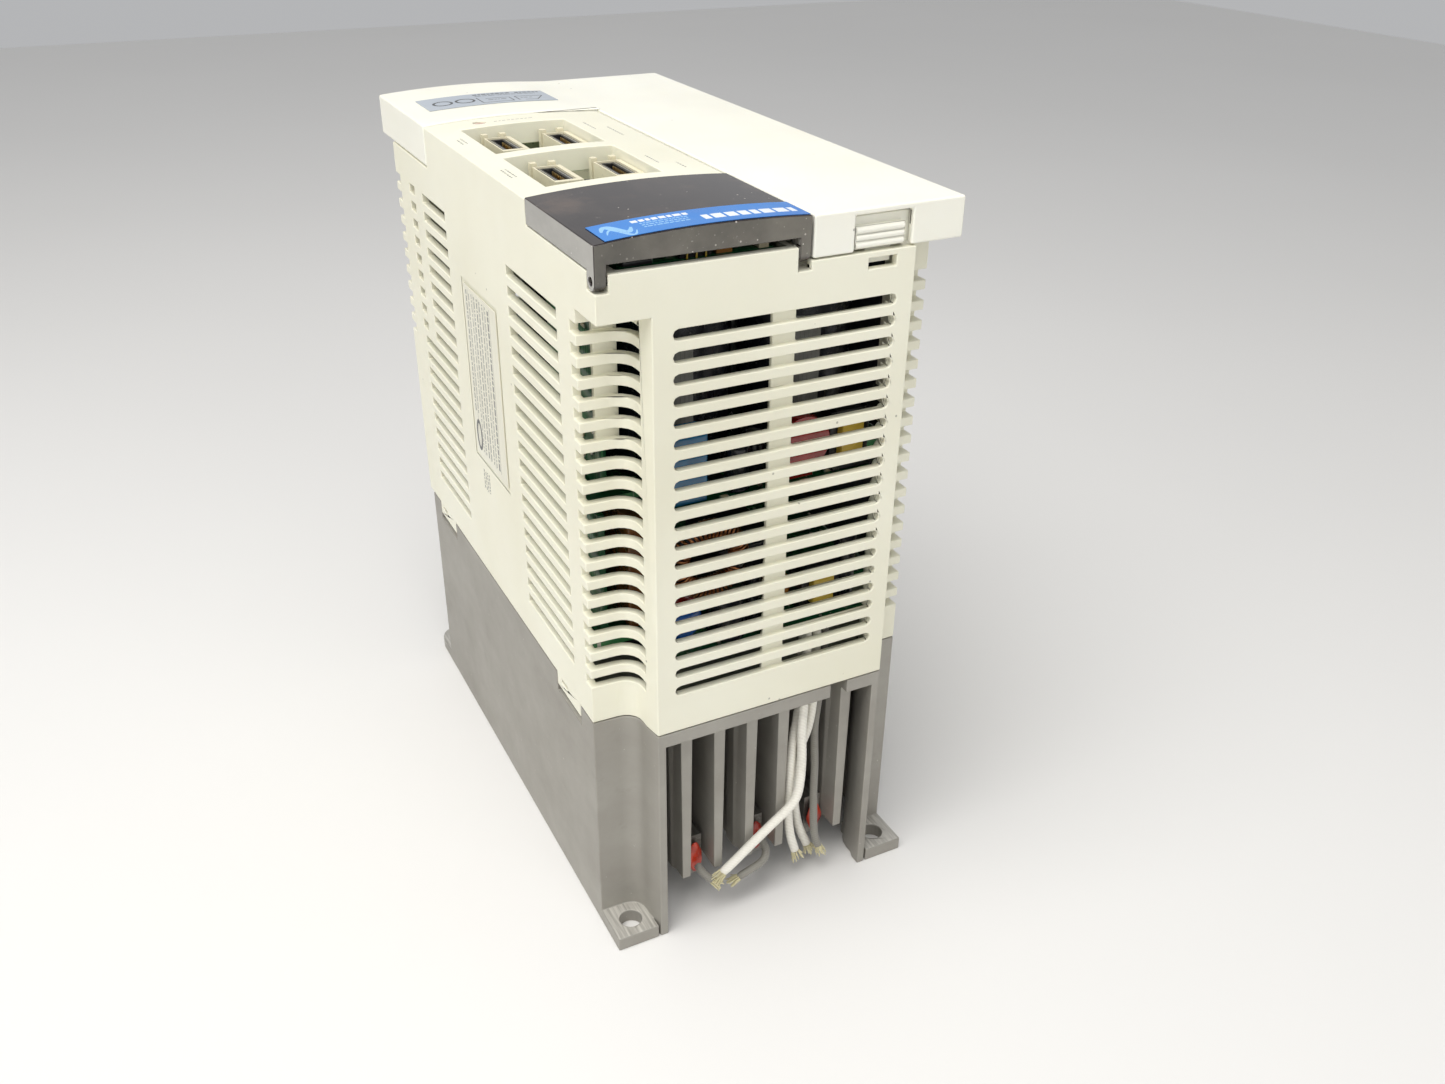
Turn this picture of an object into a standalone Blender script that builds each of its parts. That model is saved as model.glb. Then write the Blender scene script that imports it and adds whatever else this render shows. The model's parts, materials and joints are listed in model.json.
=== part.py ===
"""A compact servo drive for panel mounting, as an assembly of separate pieces.

Run it with: blender --background --python part.py

Lengths are written in millimetres, and the helpers turn them into Blender's metres.
+Z points from the mounting panel to the front, +X goes across the width, and +Y goes
from the display end to the cable end. The origin is the middle of the mounting plane.
"""

import math

import bmesh
import bpy
from mathutils import Matrix, Vector

MM = 0.001

# Overall envelope
HALF_WIDTH = 45.0
NEAR = -84.0
FAR = 84.0
SPLIT = 68.0
GAP = 0.3

# Front surface: flat on the right, a shallow arch on the left
FRONT_FLAT = 193.85
FRONT_LEFT = 193.5
FRONT_BULGE = 1.12
ARCH_END = 5.4
LABEL_GAP = 0.08
LABEL_THICKNESS = 0.12

# Corner recesses at the near end, shared by the case and the heatsink
NOSE_HALF = 32.6
RECESS_X = 33.5
RECESS_Y = -72.0
RECESS_FLARE_Y = -79.0
RECESS_RADIUS = 4.7
RECESS_DRAFT = 0.2

# Heatsink
SINK_FAR = 69.5
SINK_WALL = 2.4
SINK_PLATE = 4.0
FIN_COUNT = 6
FIN_PITCH = 9.55
FIN_FIRST_X = -23.0
FIN_THICKNESS = 3.4
FIN_TAPER = 0.74
FIN_BOTTOM = 14.0
FIN_NEAR = -80.3
FIN_FAR = 40.0
SHORT_FIN = 4
SHORT_FIN_NEAR = -50.0
COLUMN_FINS = (0, 2, 5)
FOOT_SIZE = 11.8
FOOT_HEIGHT = 4.0
FOOT_HOLE_RADIUS = 3.0
MOUNT_X = 39.0
MOUNT_Y = 78.0
LEAD_HOLE = ((9.9, 22.4), (-81.6, -72.0))
LEAD_SLOT = ((17.4, 22.4), (-85.0, -81.0))

# Case
CASE_FAR = 73.0
CASE_WALL = 2.2
CASE_BOTTOM = SPLIT + GAP
RIM_TOP = 183.9
DECK_TOP = 182.2
DECK_BOTTOM = 179.8
POCKET_TOP = 187.2
LID_BOTTOM = 176.7
PANEL_FAR = 36.5
PANEL_NEAR = -43.6
PANEL_RIGHT = 5.1
PANEL_DROP = 0.4
PANEL_INNER = 188.6
WINDOW_X = (-37.6, -8.6)
WINDOW_YS = ((-37.8, -7.7), (-2.9, 26.8))
TAB_YS = ((-63.0, -46.5), (45.0, 61.0))
TAB_BOTTOM = 64.3
TAB_THICKNESS = 1.3
PLATE_Y = (-16.7, 13.0)
PLATE_Z = (107.0, 159.0)

# Ventilation slots: every bank uses the same rows
SLOT_ROWS = 19
SLOT_TOP = 172.1
SLOT_PITCH = 5.1
SLOT_HEIGHT = 2.6
CORNER_ROWS = 10
CORNER_RIB_XS = ((-40.6, -34.8), (34.8, 40.6))
CORNER_RIB_Z = (144.4, 177.0)

# Front cover
COVER_WALL = 1.8
COVER_BOTTOM = 184.3
COVER_SKIRT = 182.6
COVER_LEFT = 5.7
COVER_INNER_FAR = 37.0
COVER_AXIS = (75.0, 186.8)
HOOK_XS = (-26.0, 26.0)
KNOB_WINDOW_X = (16.1, 31.0)
KNOB_WINDOW_TOP = 192.4

# Display window
WINDOW_FAR = -43.9
WINDOW_WALL = 1.5
WINDOW_LIP = 189.2
WINDOW_SIDE = 187.5
WINDOW_AXIS = (-81.9, 185.7)

# Connectors, boards and what stands on them
CONNECTOR_CENTRES = ((-28.5, -19.4), (-12.9, -20.3), (-29.4, 15.6), (-13.2, 15.2))
CONNECTOR_TOP = 191.8
POST_TOP = 192.5
POST_WIDTH = 1.6
CONTROL_BOARD_Z = (180.4, 182.0)
DRIVER_BOARD_Z = (126.0, 127.6)
POWER_BOARD_Z = (86.0, 87.6)
DIAL_CENTRE = (-3.0, -66.0)
SLIDER_CENTRE = (-4.0, -53.0)

# Fan
FAN_CENTRE_Z = 33.4
FAN_NEAR = 42.0
FAN_DEPTH = 25.0
FAN_HALF = 30.0
FAN_BORE = 28.4
HUB_RADIUS = 14.0
BLADE_COUNT = 7
BLADE_PITCH = math.radians(38)

# Resistors in the channels between the fins, and their leads
RESISTOR_XS = (-18.2, 0.9, 20.0)
RESISTOR_WIDTH = 5.2
RESISTOR_Y = (-74.0, -4.0)
RESISTOR_Z = (8.5, 22.0)
WHITE_LEAD_RADIUS = 1.4
GREY_LEAD_RADIUS = 1.2

LEADS = {
    "white_lead_long": [
        (11.8, -79.9, 85.7), (11.8, -79.9, 73.0), (11.8, -79.9, 61.0), (11.6, -79.9, 55.2),
        (11.6, -80.0, 50.3), (11.8, -80.2, 45.4), (11.6, -80.7, 40.7), (10.8, -81.6, 36.0),
        (9.5, -82.3, 31.8), (6.8, -82.4, 28.6), (3.7, -82.4, 26.4), (-0.3, -82.4, 23.4),
        (-4.8, -82.4, 20.0), (-9.2, -82.4, 16.5), (-13.4, -82.4, 13.4),
    ],
    "white_lead_middle": [
        (12.6, -76.6, 85.7), (12.6, -76.6, 73.0), (12.6, -76.6, 62.0), (12.0, -76.7, 55.0),
        (11.0, -77.0, 50.0), (10.0, -77.8, 44.5), (9.5, -78.3, 39.0), (9.4, -78.6, 34.0),
        (9.1, -78.8, 29.0), (9.1, -79.0, 22.5), (9.9, -79.4, 15.5), (11.6, -79.8, 9.0),
    ],
    "white_lead_right": [
        (16.0, -77.6, 85.7), (16.0, -77.6, 73.0), (16.0, -77.6, 62.0), (15.7, -77.6, 56.0),
        (15.0, -77.2, 50.0), (14.0, -76.4, 45.0), (13.1, -75.9, 40.0), (12.6, -75.7, 34.5),
        (12.6, -75.7, 28.5), (13.0, -76.1, 21.5), (14.5, -76.6, 14.0), (17.2, -77.2, 7.0),
    ],
}
SLEEVES = {
    "grey_sleeve_right": [
        (19.6, -75.9, 85.7), (19.6, -75.9, 66.0), (18.6, -76.0, 56.0), (17.9, -76.3, 50.0),
        (18.0, -76.6, 43.0), (18.3, -76.9, 35.5), (18.2, -77.2, 27.7), (17.8, -78.4, 21.5),
        (17.6, -79.2, 16.5), (17.9, -79.9, 12.0), (18.9, -80.5, 8.6),
    ],
    "grey_sleeve_middle": [
        (0.9, -77.2, 16.6), (1.3, -78.8, 15.9), (1.2, -81.0, 14.2), (-0.6, -82.3, 12.5),
        (-4.2, -82.5, 11.2), (-8.6, -82.5, 9.8),
    ],
    "grey_sleeve_left": [
        (-18.3, -77.2, 14.2), (-18.2, -78.7, 13.7), (-17.5, -80.3, 12.8), (-15.9, -82.2, 11.5),
    ],
}

MATERIALS = {
    "case_plastic": ((0.80, 0.79, 0.70, 1), 0.45, 0.0),
    "cover_plastic": ((0.87, 0.87, 0.80, 1), 0.42, 0.0),
    "smoke_plastic": ((0.045, 0.035, 0.032, 0.72), 0.12, 0.0),
    "cast_aluminium": ((0.56, 0.55, 0.53, 1), 0.45, 0.9),
    "board_green": ((0.03, 0.20, 0.10, 1), 0.4, 0.0),
    "black_plastic": ((0.02, 0.02, 0.022, 1), 0.4, 0.0),
    "cream_plastic": ((0.75, 0.72, 0.60, 1), 0.4, 0.0),
    "blue_label": ((0.07, 0.27, 0.66, 1), 0.35, 0.0),
    "grey_label": ((0.62, 0.65, 0.70, 1), 0.4, 0.0),
    "plate_label": ((0.82, 0.82, 0.80, 1), 0.4, 0.0),
    "capacitor_sleeve": ((0.012, 0.012, 0.016, 1), 0.3, 0.0),
    "film_blue": ((0.03, 0.20, 0.42, 1), 0.3, 0.0),
    "varistor_red": ((0.45, 0.03, 0.025, 1), 0.35, 0.0),
    "brown_resin": ((0.23, 0.10, 0.04, 1), 0.4, 0.0),
    "plated_steel": ((0.66, 0.65, 0.62, 1), 0.3, 1.0),
    "resistor_case": ((0.42, 0.42, 0.41, 1), 0.5, 0.6),
    "red_sealant": ((0.50, 0.045, 0.02, 1), 0.35, 0.0),
    "white_sleeve": ((0.86, 0.85, 0.80, 1), 0.5, 0.0),
    "glass_fibre_sleeve": ((0.52, 0.51, 0.46, 1), 0.7, 0.0),
    "lamp_red": ((0.60, 0.22, 0.18, 1), 0.2, 0.0),
}


# Helpers -----------------------------------------------------------------------------


def clear_scene():
    for obj in list(bpy.data.objects):
        bpy.data.objects.remove(obj, do_unlink=True)


def make_collection(name):
    collection = bpy.data.collections.new(name)
    bpy.context.scene.collection.children.link(collection)
    return collection


def make_material(name, colour, roughness, metallic):
    material = bpy.data.materials.new(name)
    material.use_nodes = True
    shader = material.node_tree.nodes["Principled BSDF"]
    shader.inputs["Base Color"].default_value = (*colour[:3], 1)
    shader.inputs["Alpha"].default_value = colour[3]
    shader.inputs["Roughness"].default_value = roughness
    shader.inputs["Metallic"].default_value = metallic
    material.diffuse_color = colour
    return material


def object_from(name, bm):
    """An object from a bmesh, with its corners on a fine grid so that shared planes really meet."""
    for vertex in bm.verts:
        vertex.co = [round(value, 7) for value in vertex.co]
    bmesh.ops.recalc_face_normals(bm, faces=bm.faces)
    mesh = bpy.data.meshes.new(name)
    bm.to_mesh(mesh)
    bm.free()
    return bpy.data.objects.new(name, mesh)


def box(name, x, y, z):
    """An upright block; each argument is a (low, high) pair."""
    return boxes(name, [(x, y, z)])


def boxes(name, blocks):
    """Several blocks in one mesh. They must stay clear of each other."""
    bm = bmesh.new()
    for block in blocks:
        centre = Vector([(low + high) / 2 for low, high in block]) * MM
        size = [(high - low) * MM for low, high in block]
        place = Matrix.Translation(centre) @ Matrix.Diagonal((*size, 1))
        bmesh.ops.create_cube(bm, size=1, matrix=place)
    return object_from(name, bm)


def turn_to(axis):
    directions = {"X": Vector((1, 0, 0)), "Y": Vector((0, 1, 0)), "Z": Vector((0, 0, 1))}
    return Vector((0, 0, 1)).rotation_difference(directions[axis]).to_matrix().to_4x4()


def cylinder(name, centre, axis, radius, length, sides=24):
    bm = bmesh.new()
    add_cylinder(bm, centre, axis, radius, length, sides)
    return object_from(name, bm)


def add_cylinder(bm, centre, axis, radius, length, sides):
    place = Matrix.Translation(Vector(centre) * MM) @ turn_to(axis)
    bmesh.ops.create_cone(
        bm,
        cap_ends=True,
        segments=sides,
        radius1=radius * MM,
        radius2=radius * MM,
        depth=length * MM,
        matrix=place,
    )


def arc(centre_x, centre_y, radius, start, end, steps):
    """Points along an arc, with its angles in degrees."""
    points = []
    for step in range(steps + 1):
        angle = math.radians(start + (end - start) * step / steps)
        points.append((centre_x + radius * math.cos(angle), centre_y + radius * math.sin(angle)))
    return points


def stadium(low_x, high_x, centre_y, height, steps=4):
    """Outline of a slot with round ends."""
    radius = height / 2
    right = arc(high_x - radius, centre_y, radius, -90, 90, steps)
    left = arc(low_x + radius, centre_y, radius, 90, 270, steps)
    return right + left


def extrusion(name, outlines, axis, low, high):
    """Flat outlines drawn out along an axis from low to high.

    An outline is in (x, y) for axis Z, (x, z) for axis Y and (y, z) for axis X.
    An outline inside another is a hole.
    """
    curve = bpy.data.curves.new(name, "CURVE")
    curve.dimensions = "2D"
    curve.fill_mode = "BOTH"
    curve.extrude = (high - low) / 2 * MM
    for outline in outlines:
        spline = curve.splines.new("POLY")
        spline.points.add(len(outline) - 1)
        for point, (u, v) in zip(spline.points, outline):
            point.co = (u * MM, v * MM, 0, 1)
        spline.use_cyclic_u = True
    holder = bpy.data.objects.new(name, curve)
    mesh = bpy.data.meshes.new_from_object(holder)
    bpy.data.objects.remove(holder)
    turns = {
        "X": Matrix(((0, 0, 1), (1, 0, 0), (0, 1, 0))),
        "Y": Matrix(((1, 0, 0), (0, 0, -1), (0, 1, 0))),
        "Z": Matrix.Identity(3),
    }
    middle = (low + high) / 2 * MM
    shift = {"X": (middle, 0, 0), "Y": (0, middle, 0), "Z": (0, 0, middle)}
    bm = bmesh.new()
    bm.from_mesh(mesh)
    bpy.data.meshes.remove(mesh)
    bmesh.ops.remove_doubles(bm, verts=bm.verts, dist=1e-6)
    bmesh.ops.dissolve_limit(bm, angle_limit=0.01, verts=[], edges=bm.edges)
    bmesh.ops.transform(bm, matrix=Matrix.Translation(shift[axis]) @ turns[axis].to_4x4(), verts=bm.verts)
    return object_from(name, bm)


def tube(name, route, radius):
    """A round lead along a smooth curve through the route's points."""
    curve = bpy.data.curves.new(name, "CURVE")
    curve.dimensions = "3D"
    curve.bevel_depth = radius * MM
    curve.bevel_resolution = 2
    curve.use_fill_caps = True
    points = smooth_route(route, 3)
    spline = curve.splines.new("POLY")
    spline.points.add(len(points) - 1)
    for point, place in zip(spline.points, points):
        point.co = (*(place * MM), 1)
    return bpy.data.objects.new(name, curve)


def smooth_route(route, steps):
    """Catmull-Rom points through the route."""
    knots = [Vector(p) for p in route]
    knots = [2 * knots[0] - knots[1], *knots, 2 * knots[-1] - knots[-2]]
    points = []
    for before, start, end, after in zip(knots, knots[1:], knots[2:], knots[3:]):
        for step in range(steps):
            t = step / steps
            points.append(
                0.5
                * (
                    2 * start
                    + (end - before) * t
                    + (2 * before - 5 * start + 4 * end - after) * t * t
                    + (3 * start - before - 3 * end + after) * t**3
                )
            )
    points.append(knots[-2])
    return points


def boolean(piece, other, operation):
    CUTTERS.objects.link(other)
    other.hide_render = True
    other.display_type = "WIRE"
    modifier = piece.modifiers.new(other.name, "BOOLEAN")
    modifier.operation = operation
    modifier.solver = "EXACT"
    modifier.object = other


def join(piece, *others):
    for other in others:
        boolean(piece, other, "UNION")


def cut(piece, *others):
    for other in others:
        boolean(piece, other, "DIFFERENCE")


def place(piece, slot, pivot=None):
    """Puts a finished piece in the drive; a moving piece hangs on an empty at its pivot."""
    PARTS.objects.link(piece)
    piece.data.materials.append(LOOKS[slot])
    if piece.type == "MESH":
        piece.data.shade_smooth()
        piece.data.set_sharp_from_angle(angle=math.radians(35))
    if pivot:
        hinge = bpy.data.objects.new(piece.name + "_pivot", None)
        hinge.empty_display_size = 0.01
        hinge.location = Vector(pivot) * MM
        PARTS.objects.link(hinge)
        piece.parent = hinge
        piece.matrix_parent_inverse = Matrix.Translation(hinge.location).inverted()
    return piece


# Shared outlines ---------------------------------------------------------------------


def body_outline(inset, far_end):
    """Plan outline of the case and the heatsink, with its two near corner recesses."""
    nose = NOSE_HALF - inset
    radius = RECESS_RADIUS + inset
    centre_x = RECESS_X + RECESS_RADIUS
    centre_y = RECESS_Y - RECESS_RADIUS
    right = [(nose, NEAR + inset), (RECESS_X - inset, RECESS_FLARE_Y)]
    right += arc(centre_x, centre_y, radius, 180, 90, 5)
    right += [(HALF_WIDTH - inset, RECESS_Y + RECESS_DRAFT + inset), (HALF_WIDTH - inset, far_end)]
    left = [(-x, y) for x, y in reversed(right)]
    return right + left


def front_height(x):
    """Height of the front surface at a place across the width."""
    if x >= ARCH_END:
        return FRONT_FLAT
    t = (x + HALF_WIDTH) / (ARCH_END + HALF_WIDTH)
    return FRONT_LEFT + (FRONT_FLAT - FRONT_LEFT) * t + 4 * FRONT_BULGE * t * (1 - t)


def front_line(low_x, high_x, drop, steps=12):
    """Points across the front surface, lowered by drop."""
    xs = [low_x + (high_x - low_x) * i / steps for i in range(steps + 1)]
    return [(x, front_height(x) - drop) for x in xs]


def arched_block(name, low_x, high_x, y, bottom, drop):
    """A block whose top follows the front surface."""
    outline = [(high_x, bottom), (low_x, bottom), *front_line(low_x, high_x, drop)]
    return extrusion(name, [outline], "Y", *y)


def label_sheet(name, low_x, high_x, y):
    """A thin label that follows the front surface."""
    lower = front_line(low_x, high_x, -LABEL_GAP)
    upper = front_line(low_x, high_x, -LABEL_GAP - LABEL_THICKNESS)
    return extrusion(name, [lower + upper[::-1]], "Y", *y)


def slot_row(row):
    return SLOT_TOP - row * SLOT_PITCH


def slot_span(row):
    return (slot_row(row) - SLOT_HEIGHT / 2, slot_row(row) + SLOT_HEIGHT / 2)


# Casings -----------------------------------------------------------------------------


def build_heatsink():
    piece = extrusion("heatsink", [body_outline(0, SINK_FAR)], "Z", 0, SPLIT)
    underside = SPLIT - SINK_PLATE
    cut(
        piece,
        extrusion("sink_inside", [body_outline(SINK_WALL, SINK_FAR + 5)], "Z", -1, underside),
        box("sink_mouth", (-NOSE_HALF + 2.2, NOSE_HALF - 2.2), (NEAR - 1, NEAR + 4), (-1, underside)),
    )
    join(piece, fins(underside))
    join(piece, *feet())
    holes = [(-MOUNT_X, -MOUNT_Y), (MOUNT_X, -MOUNT_Y), (-MOUNT_X, MOUNT_Y)]
    bm = bmesh.new()
    for x, y in holes:
        add_cylinder(bm, (x, y, FOOT_HEIGHT / 2), "Z", FOOT_HOLE_RADIUS, 3 * FOOT_HEIGHT, 24)
    cut(piece, object_from("foot_holes", bm))
    for name, area in (("lead_hole", LEAD_HOLE), ("lead_slot", LEAD_SLOT)):
        cut(piece, box(name, *area, (underside - 1, SPLIT + 1)))
    pocket = HALF_WIDTH - TAB_THICKNESS - GAP
    pockets = []
    for low, high in TAB_YS:
        for side in ((-HALF_WIDTH - 1, -pocket), (pocket, HALF_WIDTH + 1)):
            pockets.append((side, (low - GAP, high + GAP), (TAB_BOTTOM - 2.3, SPLIT + 1)))
    cut(piece, boxes("tab_pockets", pockets))
    return place(piece, "cast_aluminium")


def fins(underside):
    """The fins as one group: three carry a column on the left face, and one is cut short."""
    bm = bmesh.new()
    for index in range(FIN_COUNT):
        centre = FIN_FIRST_X + index * FIN_PITCH
        left = centre - FIN_THICKNESS / 2
        right = centre + FIN_THICKNESS / 2
        near = SHORT_FIN_NEAR if index == SHORT_FIN else FIN_NEAR
        outline = [(left, near), (right, near), (right, FIN_FAR), (left, FIN_FAR)]
        if index in COLUMN_FINS:
            outline += [(left, -69.0), (left - 1.0, -70.5), (left - 1.0, -74.5), (left, -76.0)]
        fin = extrusion("fin", [outline], "Z", FIN_BOTTOM, underside + 1)
        for vertex in fin.data.vertices:
            if vertex.co.z < underside * MM / 2:
                vertex.co.x = centre * MM + (vertex.co.x - centre * MM) * FIN_TAPER
        bm.from_mesh(fin.data)
        bpy.data.objects.remove(fin)
    return object_from("fins", bm)


def feet():
    """Two square feet at the near end and one round-ended foot at the far end."""
    inner = HALF_WIDTH - FOOT_SIZE
    near_y = (NEAR, NEAR + FOOT_SIZE + 2)
    near_left = box("near_left_foot", (-HALF_WIDTH, -inner), near_y, (0, FOOT_HEIGHT))
    near_right = box("near_right_foot", (inner, HALF_WIDTH), near_y, (0, FOOT_HEIGHT))
    radius = FAR - MOUNT_Y
    outline = [(-HALF_WIDTH, SINK_FAR - 4)]
    outline += [(-MOUNT_X + radius, SINK_FAR - 4)]
    outline += arc(-MOUNT_X, MOUNT_Y, radius, 0, 180, 10)
    far_left = extrusion("far_left_foot", [outline], "Z", 0, FOOT_HEIGHT)
    return near_left, near_right, far_left


def build_main_case():
    piece = extrusion("main_case", [body_outline(0, CASE_FAR)], "Z", CASE_BOTTOM, RIM_TOP)
    wide = HALF_WIDTH + 1
    inner = HALF_WIDTH - CASE_WALL
    step_z = (DECK_TOP, RIM_TOP + 1)
    panel_y = (PANEL_NEAR, PANEL_FAR)
    cut(
        piece,
        box("far_step", (-wide, wide), (COVER_INNER_FAR, CASE_FAR + 1), step_z),
        box("deck_step", (PANEL_RIGHT, inner), (NEAR + CASE_WALL, COVER_INNER_FAR + 1), step_z),
    )
    join(
        piece,
        box("pocket_block", (-HALF_WIDTH, PANEL_RIGHT), (NEAR, PANEL_NEAR + 1), (LID_BOTTOM, POCKET_TOP)),
        arched_block("panel_block", -HALF_WIDTH, PANEL_RIGHT, panel_y, LID_BOTTOM, PANEL_DROP),
    )
    cut(
        piece,
        extrusion("case_inside", [body_outline(CASE_WALL, CASE_FAR - CASE_WALL)], "Z", 60, DECK_BOTTOM),
        box(
            "pocket_inside",
            (-inner, PANEL_RIGHT - CASE_WALL),
            (NEAR + CASE_WALL, PANEL_NEAR),
            (LID_BOTTOM + CASE_WALL, POCKET_TOP + 1),
        ),
        box(
            "panel_passage",
            (-inner, PANEL_RIGHT - CASE_WALL),
            (PANEL_NEAR - 1, PANEL_NEAR + CASE_WALL + 1),
            (LID_BOTTOM + 2, RIM_TOP),
        ),
        box(
            "panel_inside",
            (-inner, PANEL_RIGHT - CASE_WALL),
            (PANEL_NEAR + CASE_WALL, PANEL_FAR - CASE_WALL),
            (LID_BOTTOM - 1, PANEL_INNER),
        ),
    )
    add_case_features(piece)
    add_case_openings(piece)
    cut_case_slots(piece)
    rib_y = (RECESS_Y + CASE_WALL - 0.4, RECESS_Y + CASE_WALL + 1.2)
    join(piece, boxes("corner_ribs", [(x, rib_y, CORNER_RIB_Z) for x in CORNER_RIB_XS]))
    return place(piece, "case_plastic")


def add_case_features(piece):
    """Hinge lugs, snap tabs, the rib behind the nose grille and the cheeks of the window hinge."""
    lugs = []
    for centre in HOOK_XS:
        lugs.append(((centre - 1.6, centre + 1.6), (69.0, 77.4), (DECK_BOTTOM + 1, 189.2)))
    join(piece, boxes("cover_lugs", lugs))
    tabs = []
    tab_inner = HALF_WIDTH - TAB_THICKNESS
    for low, high in TAB_YS:
        for side in ((-HALF_WIDTH, -tab_inner), (tab_inner, HALF_WIDTH)):
            tabs.append((side, (low, high), (TAB_BOTTOM, CASE_BOTTOM + 3)))
    join(piece, boxes("snap_tabs", tabs))
    join(piece, box("nose_rib", (-3.0, 3.0), (NEAR + 1.2, NEAR + 2.8), (77.0, 176.0)))
    cheek_z = (LID_BOTTOM + 1, POCKET_TOP)
    cheek_y = (NEAR + 1, NEAR + 7.0)
    cheeks = [
        ((-42.0, -39.4), cheek_y, cheek_z),
        ((0.2, 2.1), cheek_y, cheek_z),
    ]
    join(piece, boxes("hinge_cheeks", cheeks))


def add_case_openings(piece):
    for number, window_y in enumerate(WINDOW_YS, 1):
        cut(piece, box(f"connector_window_{number}", WINDOW_X, window_y, (185.0, 197.0)))
    hinge_y, hinge_z = WINDOW_AXIS
    notch_y = (NEAR - 1, hinge_y + 2.4)
    cut(
        piece,
        box("terminal_window", (9.0, 41.5), (-34.0, 64.0), (178.0, RIM_TOP + 1)),
        box("latch_hole", (20.1, 27.5), (NEAR - 1, NEAR + 3), (180.0, 182.5)),
        box("latch_passage", (19.4, 28.2), (NEAR + CASE_WALL, NEAR + 7), (178.0, RIM_TOP + 1)),
        box("left_arm_notch", (-HALF_WIDTH - 1, -42.0), notch_y, (183.3, POCKET_TOP + 1)),
        box("right_arm_notch", (2.1, COVER_LEFT - 0.3), notch_y, (181.8, POCKET_TOP + 1)),
        cylinder("window_pin_holes", (-20.0, hinge_y, hinge_z), "X", 1.35, 50.0, 16),
        cylinder("lamp_hole", (-30.7, 32.0, 190.0), "Z", 1.8, 12.0, 16),
        box("plate_recess", (-HALF_WIDTH - 1, -HALF_WIDTH + 0.5), PLATE_Y, PLATE_Z),
    )
    axis_y, axis_z = COVER_AXIS
    bm = bmesh.new()
    for centre in HOOK_XS:
        add_cylinder(bm, (centre, axis_y, axis_z), "X", 1.35, 6.0, 16)
    cut(piece, object_from("lug_holes", bm))
    mouths = []
    for centre in HOOK_XS:
        mouths.append(((centre - 3, centre + 3), (axis_y + 0.2, axis_y + 4), (axis_z - 1.3, axis_z + 1.3)))
    cut(piece, boxes("lug_mouths", mouths))


def cut_case_slots(piece):
    """Nineteen rows of slots round the case."""
    nose = [stadium(-27.7, 28.3, slot_row(row), SLOT_HEIGHT) for row in range(SLOT_ROWS)]
    cut(piece, extrusion("nose_slots", nose, "Y", NEAR - 1, NEAR + 1.6))
    halves = []
    for row in range(SLOT_ROWS):
        for half in ((-27.1, -3.0), (3.0, 27.7)):
            halves.append((half, (NEAR + 1, NEAR + 5), slot_span(row)))
    cut(piece, boxes("nose_slot_backs", halves))
    corners = []
    sides = []
    for row in range(SLOT_ROWS):
        z = slot_span(row)
        corners.append(((-46.0, -30.9), (RECESS_FLARE_Y, RECESS_Y + 3.6), z))
        corners.append(((30.9, 46.0), (RECESS_FLARE_Y, RECESS_Y + 3.6), z))
        sides.append(((-46.0, 46.0), (-60.3, -26.6), z))
        if row < CORNER_ROWS:
            corners.append(((-46.0, -40.5), (68.5, 74.0), z))
            corners.append(((40.5, 46.0), (68.5, 74.0), z))
        if row < CORNER_ROWS - 1:
            sides.append(((-46.0, 46.0), (23.4, 45.4), z))
            sides.append(((-46.0, 46.0), (53.2, 58.6), z))
        else:
            sides.append(((-46.0, 46.0), (25.2, 57.4), z))
    cut(piece, boxes("corner_slots", corners), boxes("side_slots", sides))
    far = []
    for row in range(0, SLOT_ROWS, 2):
        for low, high in ((-32.0, -2.5), (2.5, 32.0)):
            far.append(((low, high), (CASE_FAR - 4, CASE_FAR + 1), slot_span(row)))
    cut(piece, boxes("far_slots", far))
    dimples = [((-46.0, 46.0), (low + 9.0, low + 13.5), (66.4, 67.7)) for low, _ in TAB_YS]
    cut(piece, boxes("tab_dimples", dimples))


def build_front_cover():
    """The L-shaped lid over the terminals, with its hinge ribs at the far end."""
    right = (COVER_LEFT, HALF_WIDTH)
    piece = box("front_cover", right, (NEAR, FAR), (COVER_SKIRT, FRONT_FLAT))
    join(
        piece,
        arched_block("cover_arch", -HALF_WIDTH, COVER_LEFT + 1, (COVER_INNER_FAR, FAR), COVER_SKIRT, 0),
    )
    inner = HALF_WIDTH - COVER_WALL
    far = FAR - COVER_WALL
    raised = (180, COVER_BOTTOM)
    hollow = (180, FRONT_FLAT - COVER_WALL)
    cut(
        piece,
        box("cover_raise", (COVER_LEFT - 1, HALF_WIDTH + 1), (NEAR - 1, COVER_INNER_FAR), raised),
        box("cover_inside", (COVER_LEFT - 1, inner), (NEAR + COVER_WALL, far), hollow),
        arched_block("arch_inside", -inner, COVER_LEFT + 2, (COVER_INNER_FAR - 1, far), 180, COVER_WALL),
        box("knob_window", KNOB_WINDOW_X, (NEAR - 1, NEAR + 3), (180, KNOB_WINDOW_TOP)),
    )
    axis_y, axis_z = COVER_AXIS
    rib = [(axis_y + 1.8, 193.0), (axis_y - 1.8, 193.0)] + arc(axis_y, axis_z, 1.8, 180, 360, 8)
    for centre in HOOK_XS:
        for low in (centre - 3.8, centre + 2.0):
            join(piece, extrusion(f"hook_rib_{low:.1f}", [rib], "X", low, low + 1.8))
    bm = bmesh.new()
    for centre in HOOK_XS:
        add_cylinder(bm, (centre, axis_y, axis_z), "X", 1.2, 5.0, 16)
    join(piece, object_from("hook_pins", bm))
    return place(piece, "cover_plastic", (0, axis_y, axis_z))


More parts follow.
